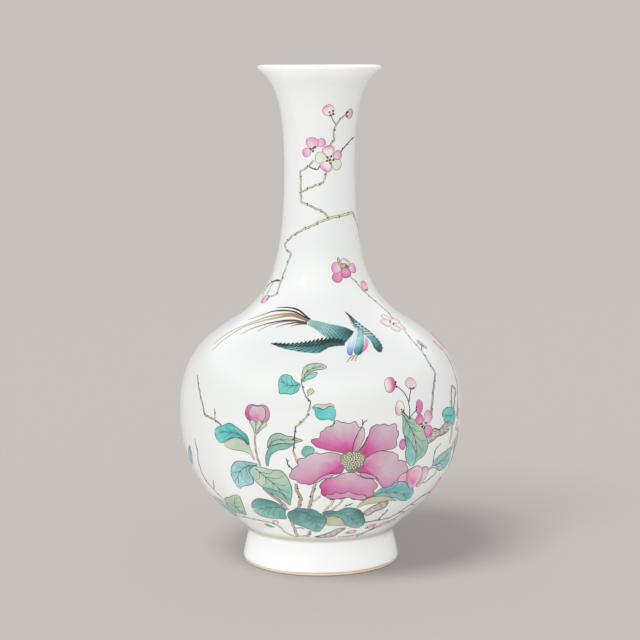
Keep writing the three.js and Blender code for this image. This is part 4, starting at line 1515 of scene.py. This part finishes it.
BELLY_BLOSSOMS = (
    Blossom((44.2, 116),
            (((42.2, 120.4), 4.2, 3.8, DEEP_PINK), ((46.8, 121.2), 5.2, 4.8, PINK),
             ((47, 111), 5.6, 4.2, DEEP_PINK)),
            ((43, 117.2), (45.6, 117.4), (44.8, 114), (43.6, 115))),
    Blossom((75.5, 110), (((75, 115), 4.4, 3.4, PINK), ((73.6, 106), 3.6, 3, BLUSH)), ()),
    Blossom((70.6, 95), (((70.5, 91.4), 3.4, 2.6, PINK),), ()),
    Blossom((71, 56), (((69, 60.4), 4.4, 3.4, PINK), ((68, 53), 3.4, 2.6, BLUSH)), ()),
    Blossom((77.6, 166), (((77.8, 171.6), 5, 2.6, BLUSH),), ()),
    Blossom((28.4, 19.6), (((31.8, 21.6), 4.4, 2.7, PINK),), ((30, 20.6),)),
    Blossom((16.4, 15), (((19.8, 15.8), 4.4, 2.5, PINK),), ((18.2, 15.4),)),
)
CLUSTER_SEPALS = (
    (((25.5, 262), (29, 262.4), (34, 262), (38.5, 260)),
     ((25.5, 259.4), (29, 258.4), (33.6, 259.4), (38, 259))),
    (((24.4, 262.6), (23.4, 265.4), (24.6, 267.4)), ((26.4, 262.6), (26.8, 264.8), (25.4, 267.4))),
)
SEPAL_TONES = ((0.7, 0.5, 0.7), (0.6, 0.4, 0.6), (0.7, 0.5, 0.7))
SEPAL_DOT = 1.5
CHERRIES = (
    Petal(((30, 155.3), (27.5, 153.2), (26.9, 149.3), (27.6, 144.4), (29.4, 143.7), (31.4, 146.7),
           (32, 151), (31.4, 154.3)),
          (30.9, 149),
          ((0.95,), (0.7, 0.3, 0.12, 0.3, 0.9, 1.0, 0.95, 0.85),
           (0.6, 0.08, 0.05, 0.35, 0.85, 1.0, 0.95, 0.85)),
          1),
    Petal(((40.2, 153.1), (37.7, 151.4), (37, 148.1), (38.1, 145.2), (41.1, 144.3), (42.3, 146.5),
           (42.1, 150.5)),
          (40, 146.4), ((0.2,), (0.35, 0.25, 0.15, 0.15, 0.3), (0.68, 0.4, 0.15, 0.2, 0.55)), 1),
    Petal(((30.6, 133), (30.4, 129), (31.4, 126.2), (33.2, 127), (34.6, 130), (34.4, 134), (33.2, 136.6),
           (31.6, 136.4)),
          (32.8, 130.4), ((0.1,), (0.35, 0.4, 0.2, 0.06, 0.05, 0.2), (0.66, 0.62, 0.3, 0.05, 0.05, 0.4)),
          1),
    Petal(((40.6, 131), (40.4, 127.4), (41.6, 124.8), (43.2, 126), (44.2, 130), (43.8, 134), (42.2, 135.6),
           (41, 134)),
          (41.6, 128), ((0.62,), (0.74,), (0.8, 0.8, 0.66, 0.62, 0.7)), 1),
    Petal(((60, 182.7), (61.6, 181.5), (61.9, 177.9), (62.6, 173.7), (60.2, 174), (59.1, 176.6),
           (58.4, 179.6)),
          (60.2, 177.6), ((0.7,), (0.6, 0.5, 0.5, 0.7, 0.6), (0.7, 0.35, 0.3, 0.7, 0.55)), 1),
)
CHERRY_SEPALS = (
    (32, 149.6), (32.1, 147.4), (32.4, 151), (39, 145.2), (39.8, 144.4), (40.6, 145), (33.4, 128.6),
    (34.2, 129.4), (33.2, 130.2), (40.6, 128.6), (40.8, 130.4), (60.2, 178), (60.6, 176.6),
)
OPEN_BLOSSOM = (
    (((60.7, 209.8), (58.9, 214.1), (54.5, 215.6), (51.4, 213.2), (53, 210.6), (57.4, 208.1)),
     (56.6, 208.4), WHITE),
    (((53.5, 203.3), (50.4, 201.5), (49.6, 197.7), (51.6, 195.6), (54.5, 195.3), (56.3, 197.7),
      (55.6, 201.1)),
     (54.4, 201.8), WHITE),
    (((52.3, 204.4), (49.1, 202.2), (46.7, 203.9), (45.7, 207.3), (47.1, 210.1), (52.3, 210.4),
      (55.6, 207.2)),
     (53.4, 206.2), BLUSH),
    (((55.9, 206.8), (59.9, 210), (64.8, 209.8), (66.2, 206.1), (64.4, 203.4), (60.7, 203.6),
      (57.4, 204.4)),
     (58, 206), BLUSH),
    (((57.6, 203.4), (62.7, 202.9), (62.7, 199.4), (61.9, 196.2), (59.2, 195), (57.7, 197.4),
      (56.8, 200.8)),
     (58.2, 202), BLUSH),
)
OPEN_STAMENS = ((53.6, 206.4), (55, 207), (56, 204.2), (57.6, 204.6), (55.2, 203.4))


def paint_cherries(painting):
    """Round buds on their stalks, with dark sepals, and the open blossom on the shoulder."""
    painting.petals(CHERRIES, "blush", 0.34, 0.3)
    for place in CHERRY_SEPALS:
        painting.dot(place, SEPAL_DOT, "ink", 0.95, 5)
    for order, (outline, root, shade) in enumerate(OPEN_BLOSSOM):
        plane, radius = painting.flat((*outline, root))
        painting.spread(plane[:-1], plane[-1], radius, shade, 1 + order % 3, BLOSSOM_EDGE)
    for place in OPEN_STAMENS:
        painting.dot(place, SEPAL_DOT, "ink", 0.95, 6)


# Plum behind

PLUM_STEMS = (
    Stem(((86, 84), (96, 106), (104, 122), (116, 142), (121, 160)), (3, 2.6, 2.2), 0.45, 0.25, 5),
    Stem(((121, 160), (126, 178), (134, 192), (133, 212), (124, 232), (112, 252)), (2.2, 1.8, 1.5), 0.38,
         0.2, 6),
    Stem(((112, 252), (104, 272), (88, 286), (74, 294)), (1.5, 1.6, 1.7), 0.36, 0.15, 4),
    Stem(((104, 122), (98, 138), (101, 152), (97, 166)), (1.4, 1.1, 0.9), 0.4, 0.12, 3),
    Stem(((134, 192), (148, 200), (158, 214), (172, 221)), (1.4, 1.1, 0.9), 0.38, 0.12, 3),
    Stem(((121, 160), (138, 166), (150, 162)), (1.2, 0.9), 0.4, 0.1, 2),
    Stem(((124, 232), (140, 246), (146, 264), (162, 276)), (1.2, 1, 0.9), 0.38, 0.1, 3),
)
PLUM_BARK = (
    Bark(((101, 8), (95, 30), (97, 52), (91, 72), (85, 88), (76, 106)),
         ((90, 8), (86, 30), (88, 50), (84, 66), (78, 80), (72, 96))),
)
PLUM_FLOWERS = (
    ((97, 170), 5.2, 20), ((108, 128), 4.8, 50), ((138, 186), 5.4, 0), ((122, 206), 4.8, 35),
    ((174, 222), 5.2, 10), ((152, 161), 4.6, 60), ((110, 258), 4.6, 25), ((148, 256), 4.4, 5),
    ((164, 277), 4.6, 40), ((150, 206), 4.2, 70),
)
PLUM_SHADES = (BLUSH, PINK, BLUSH, WHITE, PINK)
PLUM_LENGTH = 0.72
PLUM_WIDTH = 0.68
PLUM_STAMEN = 0.42


def paint_plum(painting, heart, size, turn):
    """Five-petalled flower: petals a fifth of a turn apart about the heart, with stamens."""
    ways = np.radians(turn + 72 * np.arange(5))
    per_mm = math.degrees(1 / painting.radius_at(heart[1]))
    places = (heart[0] + size * per_mm * np.cos(ways), heart[1] + size * np.sin(ways))
    petals = np.stack(places, axis=1)
    tips = np.asarray(heart) + PLUM_STAMEN * (petals - heart)
    length, width = PLUM_LENGTH * size, PLUM_WIDTH * size
    flower = [(place, length, width, shade) for place, shade in zip(petals, PLUM_SHADES)]
    painting.blossom(heart, flower, tuple(map(tuple, tips)))


# Bird

TAIL_FEATHERS = (
    (((-7, 215), (-18, 224), (-28, 226), (-40, 225)), (1.4, 1.6, 0.5), "ink", (0.9, 1.0)),
    (((-8, 215), (-20, 222), (-30, 223), (-42, 221), (-52, 215), (-60, 209)), (1.4, 1.5, 0.4), "ink",
     (0.75, 0.95)),
    (((-8, 214), (-20, 220), (-32, 219), (-45, 214), (-55, 205), (-62, 195), (-66, 177)),
     (1.8, 2.3, 1.9, 0.6), "gold", (0.7, 0.3, 0.2, 0.5)),
    (((-8, 213.5), (-22, 218.5), (-35, 215), (-48, 208), (-56, 200), (-60, 185), (-62, 172)),
     (1.8, 2.2, 1.8, 0.5), "gold", (0.75, 0.35, 0.25, 0.55)),
    (((-9, 212), (-20, 214), (-30, 212), (-40, 207), (-48, 199), (-51, 192)), (1.5, 1.6, 0.5), "ink",
     (0.9, 1.0)),
    (((-9, 211), (-18, 213), (-28, 211), (-36, 206), (-41, 198)), (1.3, 1.5, 0.4), "gold", (0.9, 0.5, 0.6)),
    (((-9, 210.5), (-16, 211.5), (-24, 209), (-30, 205)), (1.3, 1.5, 0.4), "ink", (0.8, 0.95)),
    (((-9, 210), (-14, 210), (-20, 207)), (1.3, 1.4, 0.5), "feather", (0.6, 0.9)),
)
BIRD_BODY = (
    ((-8, 215), (0, 213.4), (6, 210.8), (12, 208.6), (18, 205), (21.6, 200.4)),
    ((-9, 209.4), (-3, 204.4), (1, 198.4), (4, 194.4), (8, 191.2), (14, 188.6)),
)
NEAR_WING = (
    ((14.4, 190.6), (8, 193), (2, 192.6), (-4, 190.2), (-10, 188.2), (-17, 186.9), (-27, 187.2)),
    ((13, 185.4), (7, 185), (3, 183.2), (1.5, 180.5), (-1, 178.4), (-6, 178.8), (-12, 180), (-20, 183),
     (-27, 186.8)),
)
FAR_WING = (
    ((20.8, 222.6), (23, 217), (23.4, 211), (25, 203), (27, 195), (28, 188), (27.8, 181), (29.2, 176.4)),
    ((21.2, 222.6), (25, 217), (29, 207.5), (32, 198), (33.2, 188), (32.6, 181), (30.4, 176.3)),
)
BIRD_CREST = (
    ((23.6, 205), (18, 195), (14, 185), (13, 177.5), (14.1, 175.2)),
    ((24.8, 204.5), (21, 195), (18, 186), (16, 179), (14.9, 175.2)),
)
BIRD_HEAD = (
    ((25, 203.4), (21.2, 194.4), (18.4, 186), (16.4, 179.4), (17, 175.6)),
    ((27.6, 202), (25, 192), (22.5, 184), (20.5, 177.6), (18.4, 175.3)),
)
BIRD_CHEEK = (
    ((26.4, 193.8), (23.6, 187), (21.2, 180.4), (20.6, 178)),
    ((27, 193), (26.4, 187.5), (24, 182), (21, 178)),
)
BIRD_FEET = (
    ((17, 176), (14, 173.5), (12, 169.5)), ((18.2, 176), (16.8, 173.5), (16, 170.6)),
    ((16.5, 175.4), (15, 172.5), (14.2, 170.8)),
)
TAIL_TONES = (0.3, 0.0, -0.1, 0.0, 0.3)
BODY_TONES = ((0.0, 0.0, 0.1), (0.12, 0.06, 0.2), (0.4, 0.4, 0.32), (0.9, 0.76, 0.6))
NEAR_TONES = ((0.9, 0.85, 0.75), (0.92, 0.76, 0.6), (0.66, 0.36, 0.2), (1, 0.9, 0.85))
FAR_TONES = (
    (1, 1, 1), (0.8, 0.6, 0.8), (0.3, 0.3, 0.6), (0.4, 0.35, 0.6), (0.3, 0.3, 0.5), (0.7, 0.6, 0.8),
    (1, 1, 1),
)
CREST_TONES = ((0.0, 0.0, 0.05), (0.05, 0.0, 0.12), (0.2, 0.1, 0.25), (0.85, 0.75, 0.9))
HEAD_TONES = ((0.3, 0.05, 0.5), (0.05, 0.0, 0.2), (0.1, 0.2, 0.6), (0.6, 0.7, 0.95))
CHEEK_TONES = ((0.3, 0.5), (0.5, 0.8), (0.8,))
FORE_BARBS = Hatch(14, (1.3, 0.5), (1.0, 0.95), -0.05, 3, span=(0.02, 0.5))
REAR_BARBS = Hatch(14, (0.9, 0.2), (0.95, 0.7), 0.06, 3)
WING_BARS = Hatch(6, (0.7, 0.9, 0.5), 0.0, 0.03, 4, "cream", (0.28, 0.62))
COVERTS = Hatch(17, (1.5, 1.3, 0.4), 1.0, 0.05, 7)
FLIGHT_FEATHERS = Hatch(10, (0.3, 0.75), (0.6, 0.98), 0.14, 7)
BODY_TOUCHES = 90


def paint_bird(painting):
    """Bird in flight: tail strokes, body, both wings with their feathers, crest, head, cheek and feet."""
    for path, width, enamel, wash in TAIL_FEATHERS:
        painting.line(path, width, enamel, wash, 1, tones=TAIL_TONES)
    sides, radius = painting.patch(*BIRD_BODY, BODY_TONES, "feather", 3)
    touches(painting, sides, radius, BODY_TOUCHES, 0.07, 5)
    sides, radius = painting.patch(*FAR_WING, FAR_TONES, "feather", 1)
    hatch(painting, sides, radius, ((0.4, -0.4),), FORE_BARBS)
    hatch(painting, sides, radius, ((1.04, 0.5),), REAR_BARBS)
    hatch(painting, sides, radius, ((0.1, 0.8),), WING_BARS)
    painting.patch(*BIRD_HEAD, HEAD_TONES, "feather", 4)
    painting.patch(*BIRD_CHEEK, CHEEK_TONES, "blush", 5)
    painting.patch(*BIRD_CREST, CREST_TONES, "sky", 5)
    sides, radius = painting.patch(*NEAR_WING, NEAR_TONES, "feather", 5)
    hatch(painting, sides, radius, ((-0.14, 0.2), (0.26, 0.5)), COVERTS)
    hatch(painting, sides, radius, ((0.5, 0.98),), FLIGHT_FEATHERS)
    for path in BIRD_FEET:
        painting.line(path, (0.9, 0.5), "gold", (0.3, 0.7), 5)


# Operators

class VASE_OT_bare_pot(bpy.types.Operator):
    """Finish the bare pot: porcelain paste on the sections, slip paste on the joints, a biscuit foot"""

    bl_idname = "vase.bare_pot"
    bl_label = "Bare Pot"

    def execute(self, context):
        settings = context.scene.vase_glaze
        paste = paste_material("porcelain_paste", settings, 0.0)
        slip = paste_material("slip_paste", settings, 0.45)
        for name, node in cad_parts.items():
            node.data.materials.clear()
            node.data.materials.append(slip if name.endswith("slip_joint") else paste)
        rim_outside = FOOT_RADIUS - BEVEL_WIDTH
        rim_inside = rim_outside - RIM_WIDTH
        inside_top = CREASE_RADIUS - FOOT_WALL
        bevel = (
            (rim_inside, 0),
            (rim_inside + RIM_EASE, 0),
            (rim_outside - RIM_EASE, 0),
            (rim_outside, RIM_LIFT),
            (FOOT_RADIUS - BEVEL_EASE[0], BEVEL_HEIGHT - BEVEL_EASE[1]),
        )
        inside = ((inside_top, FOOT_TOP), (inside_top + FOOT_LEAN, FOOT_TOP / 2))
        profile = np.concatenate((bevel, spaced(foot_side(), BISCUIT_STEP), inside))
        foot = turned("biscuit_foot", profile, closed=True)
        foot.data.materials.append(biscuit_material(settings))
        sharpen(foot, FOOT_SHARP)
        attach(foot, "root")
        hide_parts("foot_ring")
        return {"FINISHED"}


class VASE_OT_glaze(bpy.types.Operator):
    """Coat the pot with glaze from the foot over the lip and down inside, and coat the base in the foot"""

    bl_idname = "vase.glaze"
    bl_label = "Glaze"

    def execute(self, context):
        settings = context.scene.vase_glaze
        material = glaze_material(settings)
        self.coat_body(settings, material)
        self.coat_base(settings, material)
        return {"FINISHED"}

    def outer_clay(self, outside, rim):
        """Clay under the glaze from its edge on the foot, over the crease, up the wall and over the lip."""
        foot = foot_side()
        foot = foot[(foot[:, 1] > GLAZE_EDGE) & (foot[:, 1] < FOOT_TOP - CREASE_FILLET)]
        wall = outside[run_of(outside) > CREASE_FILLET]
        corner = np.array((CREASE_RADIUS, (FOOT_TOP + BOWL_BASE) / 2))
        crease = fillet(foot[-1], corner, wall[0], steps=12)[1:-1]
        rise = (0, (TOP - LIP_EDGE) * 4 / 3)
        lip = bezier(outside[-1], outside[-1] + rise, rim + rise, rim, steps=18)[1:-1]
        return np.concatenate((spaced(foot, FOOT_STEP), crease, spaced(wall, WALL_STEP), lip))

    def inner_clay(self, inside):
        """Clay under the glaze from the lip down to the middle of the floor, finer at the slip ridges."""
        radius, height = inside.T
        fillet_top = inside[np.searchsorted(height, FLOOR + FLOOR_FILLET)]
        corner = np.array((np.interp(FLOOR, height, radius), FLOOR))
        bowl_floor = fillet(fillet_top, corner, corner - (FLOOR_FILLET, 0), steps=8)
        ridges = np.concatenate([joint + RIDGE_STEPS for joint in JOINTS])
        ridged = np.stack((np.interp(ridges, height, radius), ridges), axis=1)
        hollow = np.concatenate((spaced(inside[height > fillet_top[1]][::-1], HOLLOW_STEP), ridged))
        hollow = hollow[np.argsort(-hollow[:, 1])]
        return np.concatenate((hollow, bowl_floor, ((0, FLOOR),)))

    def coat_body(self, settings, material):
        """Profile from the floor up inside, over the lip and down to the foot, then back in the wall."""
        outside = outside_line()
        inside = inside_line(outside)
        rim = np.array((np.interp(LIP_EDGE, inside[:, 1], inside[:, 0]), LIP_EDGE))
        inside = np.concatenate((inside[inside[:, 1] < LIP_EDGE], rim[None]))
        outer = self.outer_clay(outside, rim)
        clay = np.concatenate((outer, self.inner_clay(inside)))
        outward = right_hand(clay)
        thick = settings.coat / MM
        coat = np.full(len(clay), thick)
        away = np.abs(clay[len(outer):, 1][:, None] - JOINTS)
        coat[len(outer):] += RIDGE_RISE * np.exp(-((away / RIDGE_SPREAD) ** 2)).sum(axis=1)
        face = clay + coat[:, None] * outward
        face[-1] = (0, FLOOR + thick)
        back = clay[:-1:2] - GLAZE_SEAT * outward[:-1:2]
        edge = np.array((clay[0][0], GLAZE_EDGE)) + (EDGE_BEAD, EDGE_TUCK)
        profile = np.concatenate((face[::-1], edge, back, ((0, FLOOR - GLAZE_SEAT),)))
        wave = settings.edge_wave / MM

        def wander(around, height):
            """Height added low on the foot: three sines round the pot, fading out halfway up the foot."""
            low = np.clip((FOOT_TOP / 2 - height) / (FOOT_TOP / 2 - GLAZE_EDGE), 0, 1)
            swing = np.sin(3 * around + 0.6) + 0.6 * np.sin(7 * around + 2.1) + 0.35 * np.sin(17 * around)
            return wave * low**2 * (0.8 + swing) / 1.9

        glaze = turned("glaze_coat", profile[::-1], wander)
        glaze.data.materials.append(material)
        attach(glaze, "root")

    def coat_base(self, settings, material):
        """Profile of the glaze under the floor: across the base, over the slip ridge and down the foot."""
        thick = settings.coat / MM
        inside_top = CREASE_RADIUS - FOOT_WALL
        rim_inside = FOOT_RADIUS - BEVEL_WIDTH - RIM_WIDTH
        low = np.array((rim_inside + (inside_top - rim_inside) * GLAZE_EDGE / FOOT_TOP, GLAZE_EDGE))
        high = np.array((inside_top, FOOT_TOP - BASE_ROUND))
        base = np.array((inside_top - RIDGE - BASE_ROUND, BOWL_BASE))
        corner = np.array((inside_top - RIDGE - thick, BOWL_BASE - thick))
        bend = fillet(high - (thick + BASE_EASE, 0), corner, base - (0, thick), steps=10)
        down = (high - (thick, BASE_STEP), low - (thick, -BASE_EASE), low - (0, BASE_TUCK))
        seat_top = (inside_top + GLAZE_SEAT, BOWL_BASE)
        seat = (low + (GLAZE_SEAT, BASE_EASE), high + (GLAZE_SEAT, 0), seat_top)
        under = ((0, BOWL_BASE - thick), (inside_top / 2, BOWL_BASE - thick))
        top = ((inside_top / 2, BOWL_BASE + GLAZE_SEAT), (0, BOWL_BASE + GLAZE_SEAT))
        profile = np.concatenate((under, bend[::-1], down, seat, top))
        base_glaze = turned("base_glaze", profile)
        base_glaze.data.materials.append(material)
        sharpen(base_glaze, FILM_SHARP)
        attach(base_glaze, "root")


class VASE_OT_mallow(bpy.types.Operator):
    """Paint the large mallow flower with its buds"""

    bl_idname = "vase.mallow"
    bl_label = "Mallow"

    def execute(self, context):
        painting = Painting(context)
        paint_mallow(painting)
        painting.petals(MALLOW_BUDS, "blush")
        painting.petals(BIG_BUD, "rose")
        painting.patch(*BUD_CALYX, CALYX_TONES, "leaf", 4)
        painting.make("mallow_flower")
        return {"FINISHED"}


class VASE_OT_leaves(bpy.types.Operator):
    """Paint the leaves of the front"""

    bl_idname = "vase.leaves"
    bl_label = "Leaves"

    def execute(self, context):
        painting = Painting(context)
        paint_leaves(painting, LOW_LEAVES + SIDE_LEAVES, LOW_TONGUES + SIDE_TONGUES)
        painting.make("leaves")
        return {"FINISHED"}


class VASE_OT_branches(bpy.types.Operator):
    """Paint the branches, stems and twigs of the front and neck"""

    bl_idname = "vase.branches"
    bl_label = "Branches"

    def execute(self, context):
        painting = Painting(context)
        paint_stems(painting, LOW_STEMS + SIDE_STEMS + NECK_STEMS, LOW_BARK + SIDE_BARK)
        painting.make("branches")
        return {"FINISHED"}


class VASE_OT_blossoms(bpy.types.Operator):
    """Paint the small blossoms and round buds"""

    bl_idname = "vase.blossoms"
    bl_label = "Blossoms"

    def execute(self, context):
        painting = Painting(context)
        for blossom in NECK_BLOSSOMS + BELLY_BLOSSOMS:
            painting.blossom(*blossom)
        for left, right in CLUSTER_SEPALS:
            painting.tongue(left, right, SEPAL_TONES, "moss", 7)
        paint_cherries(painting)
        painting.make("blossoms")
        return {"FINISHED"}


class VASE_OT_bird(bpy.types.Operator):
    """Paint the long-tailed bird on the shoulder"""

    bl_idname = "vase.bird"
    bl_label = "Bird"

    def execute(self, context):
        painting = Painting(context)
        paint_bird(painting)
        painting.make("bird")
        return {"FINISHED"}


class VASE_OT_back(bpy.types.Operator):
    """Paint the back: a mirrored mallow with its leaves, and a plum that climbs to the neck's branch"""

    bl_idname = "vase.back"
    bl_label = "Back"

    def execute(self, context):
        painting = Painting(context)
        painting.move(180, -1)
        paint_leaves(painting, LOW_LEAVES, LOW_TONGUES)
        paint_stems(painting, LOW_STEMS, LOW_BARK)
        paint_mallow(painting)
        painting.move()
        paint_stems(painting, PLUM_STEMS, PLUM_BARK)
        for flower in PLUM_FLOWERS:
            paint_plum(painting, *flower)
        painting.make("back_painting")
        return {"FINISHED"}


class VASE_OT_stage(bpy.types.Operator):
    """Set up the paper sweep, the lights, the even fill and the camera"""

    bl_idname = "vase.stage"
    bl_label = "Stage"

    def execute(self, context):
        settings = context.scene.vase_stage
        floor = self.sweep(settings)
        self.light(context, settings, floor)
        self.fill(context, settings)
        self.camera(context, settings)
        context.scene.view_settings.view_transform = "Standard"
        return {"FINISHED"}

    def sweep(self, settings):
        """Paper from under the pot outwards, round a quarter turn and up."""
        turn = np.linspace(0, math.pi / 2, SWEEP_STEPS)
        flat = [(stop, 0) for stop in FLOOR_STOPS]
        curve = (FLOOR_REACH + SWEEP_RADIUS * np.sin(turn), SWEEP_RADIUS * (1 - np.cos(turn)))
        edge = FLOOR_REACH + SWEEP_RADIUS
        back = edge + SWEEP_THICKNESS
        top = ((edge, SWEEP_TOP), (back, SWEEP_TOP))
        under = ((back, -SWEEP_THICKNESS), (0, -SWEEP_THICKNESS))
        profile = np.concatenate((flat, np.stack(curve, axis=1), top, under)) / MM
        floor = turned("paper_sweep", profile[::-1])
        sharpen(floor, SWEEP_SHARP)
        floor.data.materials.append(sweep_material(settings))
        return floor

    def lamp(self, context, name, kind, energy, beam):
        """A light whose beam comes from a direction."""
        light = bpy.data.lights.new(name, kind)
        light.energy = energy
        made = bpy.data.objects.new(name, light)
        x, y, z = beam
        made.rotation_euler = (math.atan2(math.hypot(x, y), z), 0, math.atan2(x, -y))
        context.scene.collection.objects.link(made)
        return made

    def light(self, context, settings, floor):
        """Broad key from the left front, a light for the sweep alone, one from below and a small glint."""
        self.lamp(context, "key_light", "SUN", settings.key, KEY_FROM).data.angle = settings.key_width
        sweep_light = self.lamp(context, "sweep_light", "SUN", settings.floor_key, SWEEP_LIGHT_FROM)
        sweep_light.data.angle = settings.floor_key_width
        lit = bpy.data.collections.new("lit_by_sweep_light")
        lit.objects.link(floor)
        sweep_light.light_linking.receiver_collection = lit
        under_light = self.lamp(context, "under_light", "SUN", settings.under, UNDER_FROM)
        under_light.data.angle = math.radians(UNDER_WIDTH)
        through = bpy.data.collections.new("open_to_under_light")
        through.objects.link(floor)
        through.collection_objects[0].light_linking.link_state = "EXCLUDE"
        under_light.light_linking.blocker_collection = through
        glint = self.lamp(context, "glint_light", "SPOT", settings.glint, GLINT_FROM)
        glint.location = Vector(GLINT_AT) + Vector(GLINT_FROM) * GLINT_DISTANCE
        glint.visible_camera = False
        glint.data.shadow_soft_size = GLINT_RADIUS
        glint.data.spot_size = math.radians(GLINT_CONE)
        glint.data.spot_blend = GLINT_BLEND

    def fill(self, context, settings):
        """Even world light that rises from the horizon to its peak and falls off overhead."""
        world = bpy.data.worlds.new("even_fill")
        world.use_nodes = True
        tree = world.node_tree
        up = height_of(tree, put(tree, "ShaderNodeTexCoord").outputs["Generated"])
        rising = reach(tree, up, SKY_EDGE, SKY_PEAK, SKY_START, settings.fill_low)
        falling = reach(tree, up, SKY_PEAK, 1.0, 0.0, settings.fill_high - settings.fill_low)
        strength = sum_of(tree, "ADD", rising, falling)
        feed(tree, tree.nodes["Background"], {"Color": (1.0, 1.0, 1.0, 1.0), "Strength": strength})
        context.scene.world = world

    def camera(self, context, settings):
        """Camera in front of the pot, dropped and rolled by its own angles."""
        view = bpy.data.cameras.new("view")
        view.lens = settings.lens
        view.sensor_width = SENSOR_WIDTH
        camera = bpy.data.objects.new("view", view)
        drop = Matrix.Rotation(math.radians(UPRIGHT - CAMERA_DROP), 4, "X")
        roll = Matrix.Rotation(math.radians(-CAMERA_ROLL), 4, "Z")
        camera.matrix_world = Matrix.Translation(CAMERA_PLACE) @ (drop @ roll)
        context.scene.collection.objects.link(camera)
        context.scene.camera = camera


class VASE_PT_sidebar(bpy.types.Panel):
    """Pieces of the vase and their settings"""

    bl_idname = "VASE_PT_sidebar"
    bl_label = "Bottle Vase"
    bl_space_type = "VIEW_3D"
    bl_region_type = "UI"
    bl_category = "Vase"

    def draw(self, context):
        layout = self.layout
        for operator in OPERATORS:
            layout.operator(operator.bl_idname)
        for group in (context.scene.vase_glaze, context.scene.vase_enamel, context.scene.vase_stage):
            box = layout.box()
            for name in type(group).__annotations__:
                box.prop(group, name)


OPERATORS = (
    VASE_OT_bare_pot,
    VASE_OT_glaze,
    VASE_OT_mallow,
    VASE_OT_leaves,
    VASE_OT_branches,
    VASE_OT_blossoms,
    VASE_OT_bird,
    VASE_OT_back,
    VASE_OT_stage,
)
SETTINGS = {
    "vase_glaze": VaseGlazeSettings,
    "vase_enamel": VaseEnamelSettings,
    "vase_stage": VaseStageSettings,
}


def register():
    """Register the settings, the operators and the panel."""
    for name, group in SETTINGS.items():
        bpy.utils.register_class(group)
        setattr(bpy.types.Scene, name, bpy.props.PointerProperty(type=group))
    for shown in (*OPERATORS, VASE_PT_sidebar):
        bpy.utils.register_class(shown)


def unregister():
    """Take back what register put in place, last first."""
    for shown in (VASE_PT_sidebar, *reversed(OPERATORS)):
        bpy.utils.unregister_class(shown)
    for name, group in reversed(SETTINGS.items()):
        delattr(bpy.types.Scene, name)
        bpy.utils.unregister_class(group)


def main():
    """Register the classes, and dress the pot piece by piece."""
    register()
    bpy.ops.vase.bare_pot()
    bpy.ops.vase.glaze()
    bpy.ops.vase.mallow()
    bpy.ops.vase.leaves()
    bpy.ops.vase.branches()
    bpy.ops.vase.blossoms()
    bpy.ops.vase.bird()
    bpy.ops.vase.back()
    bpy.ops.vase.stage()


if __name__ == "__main__":
    main()
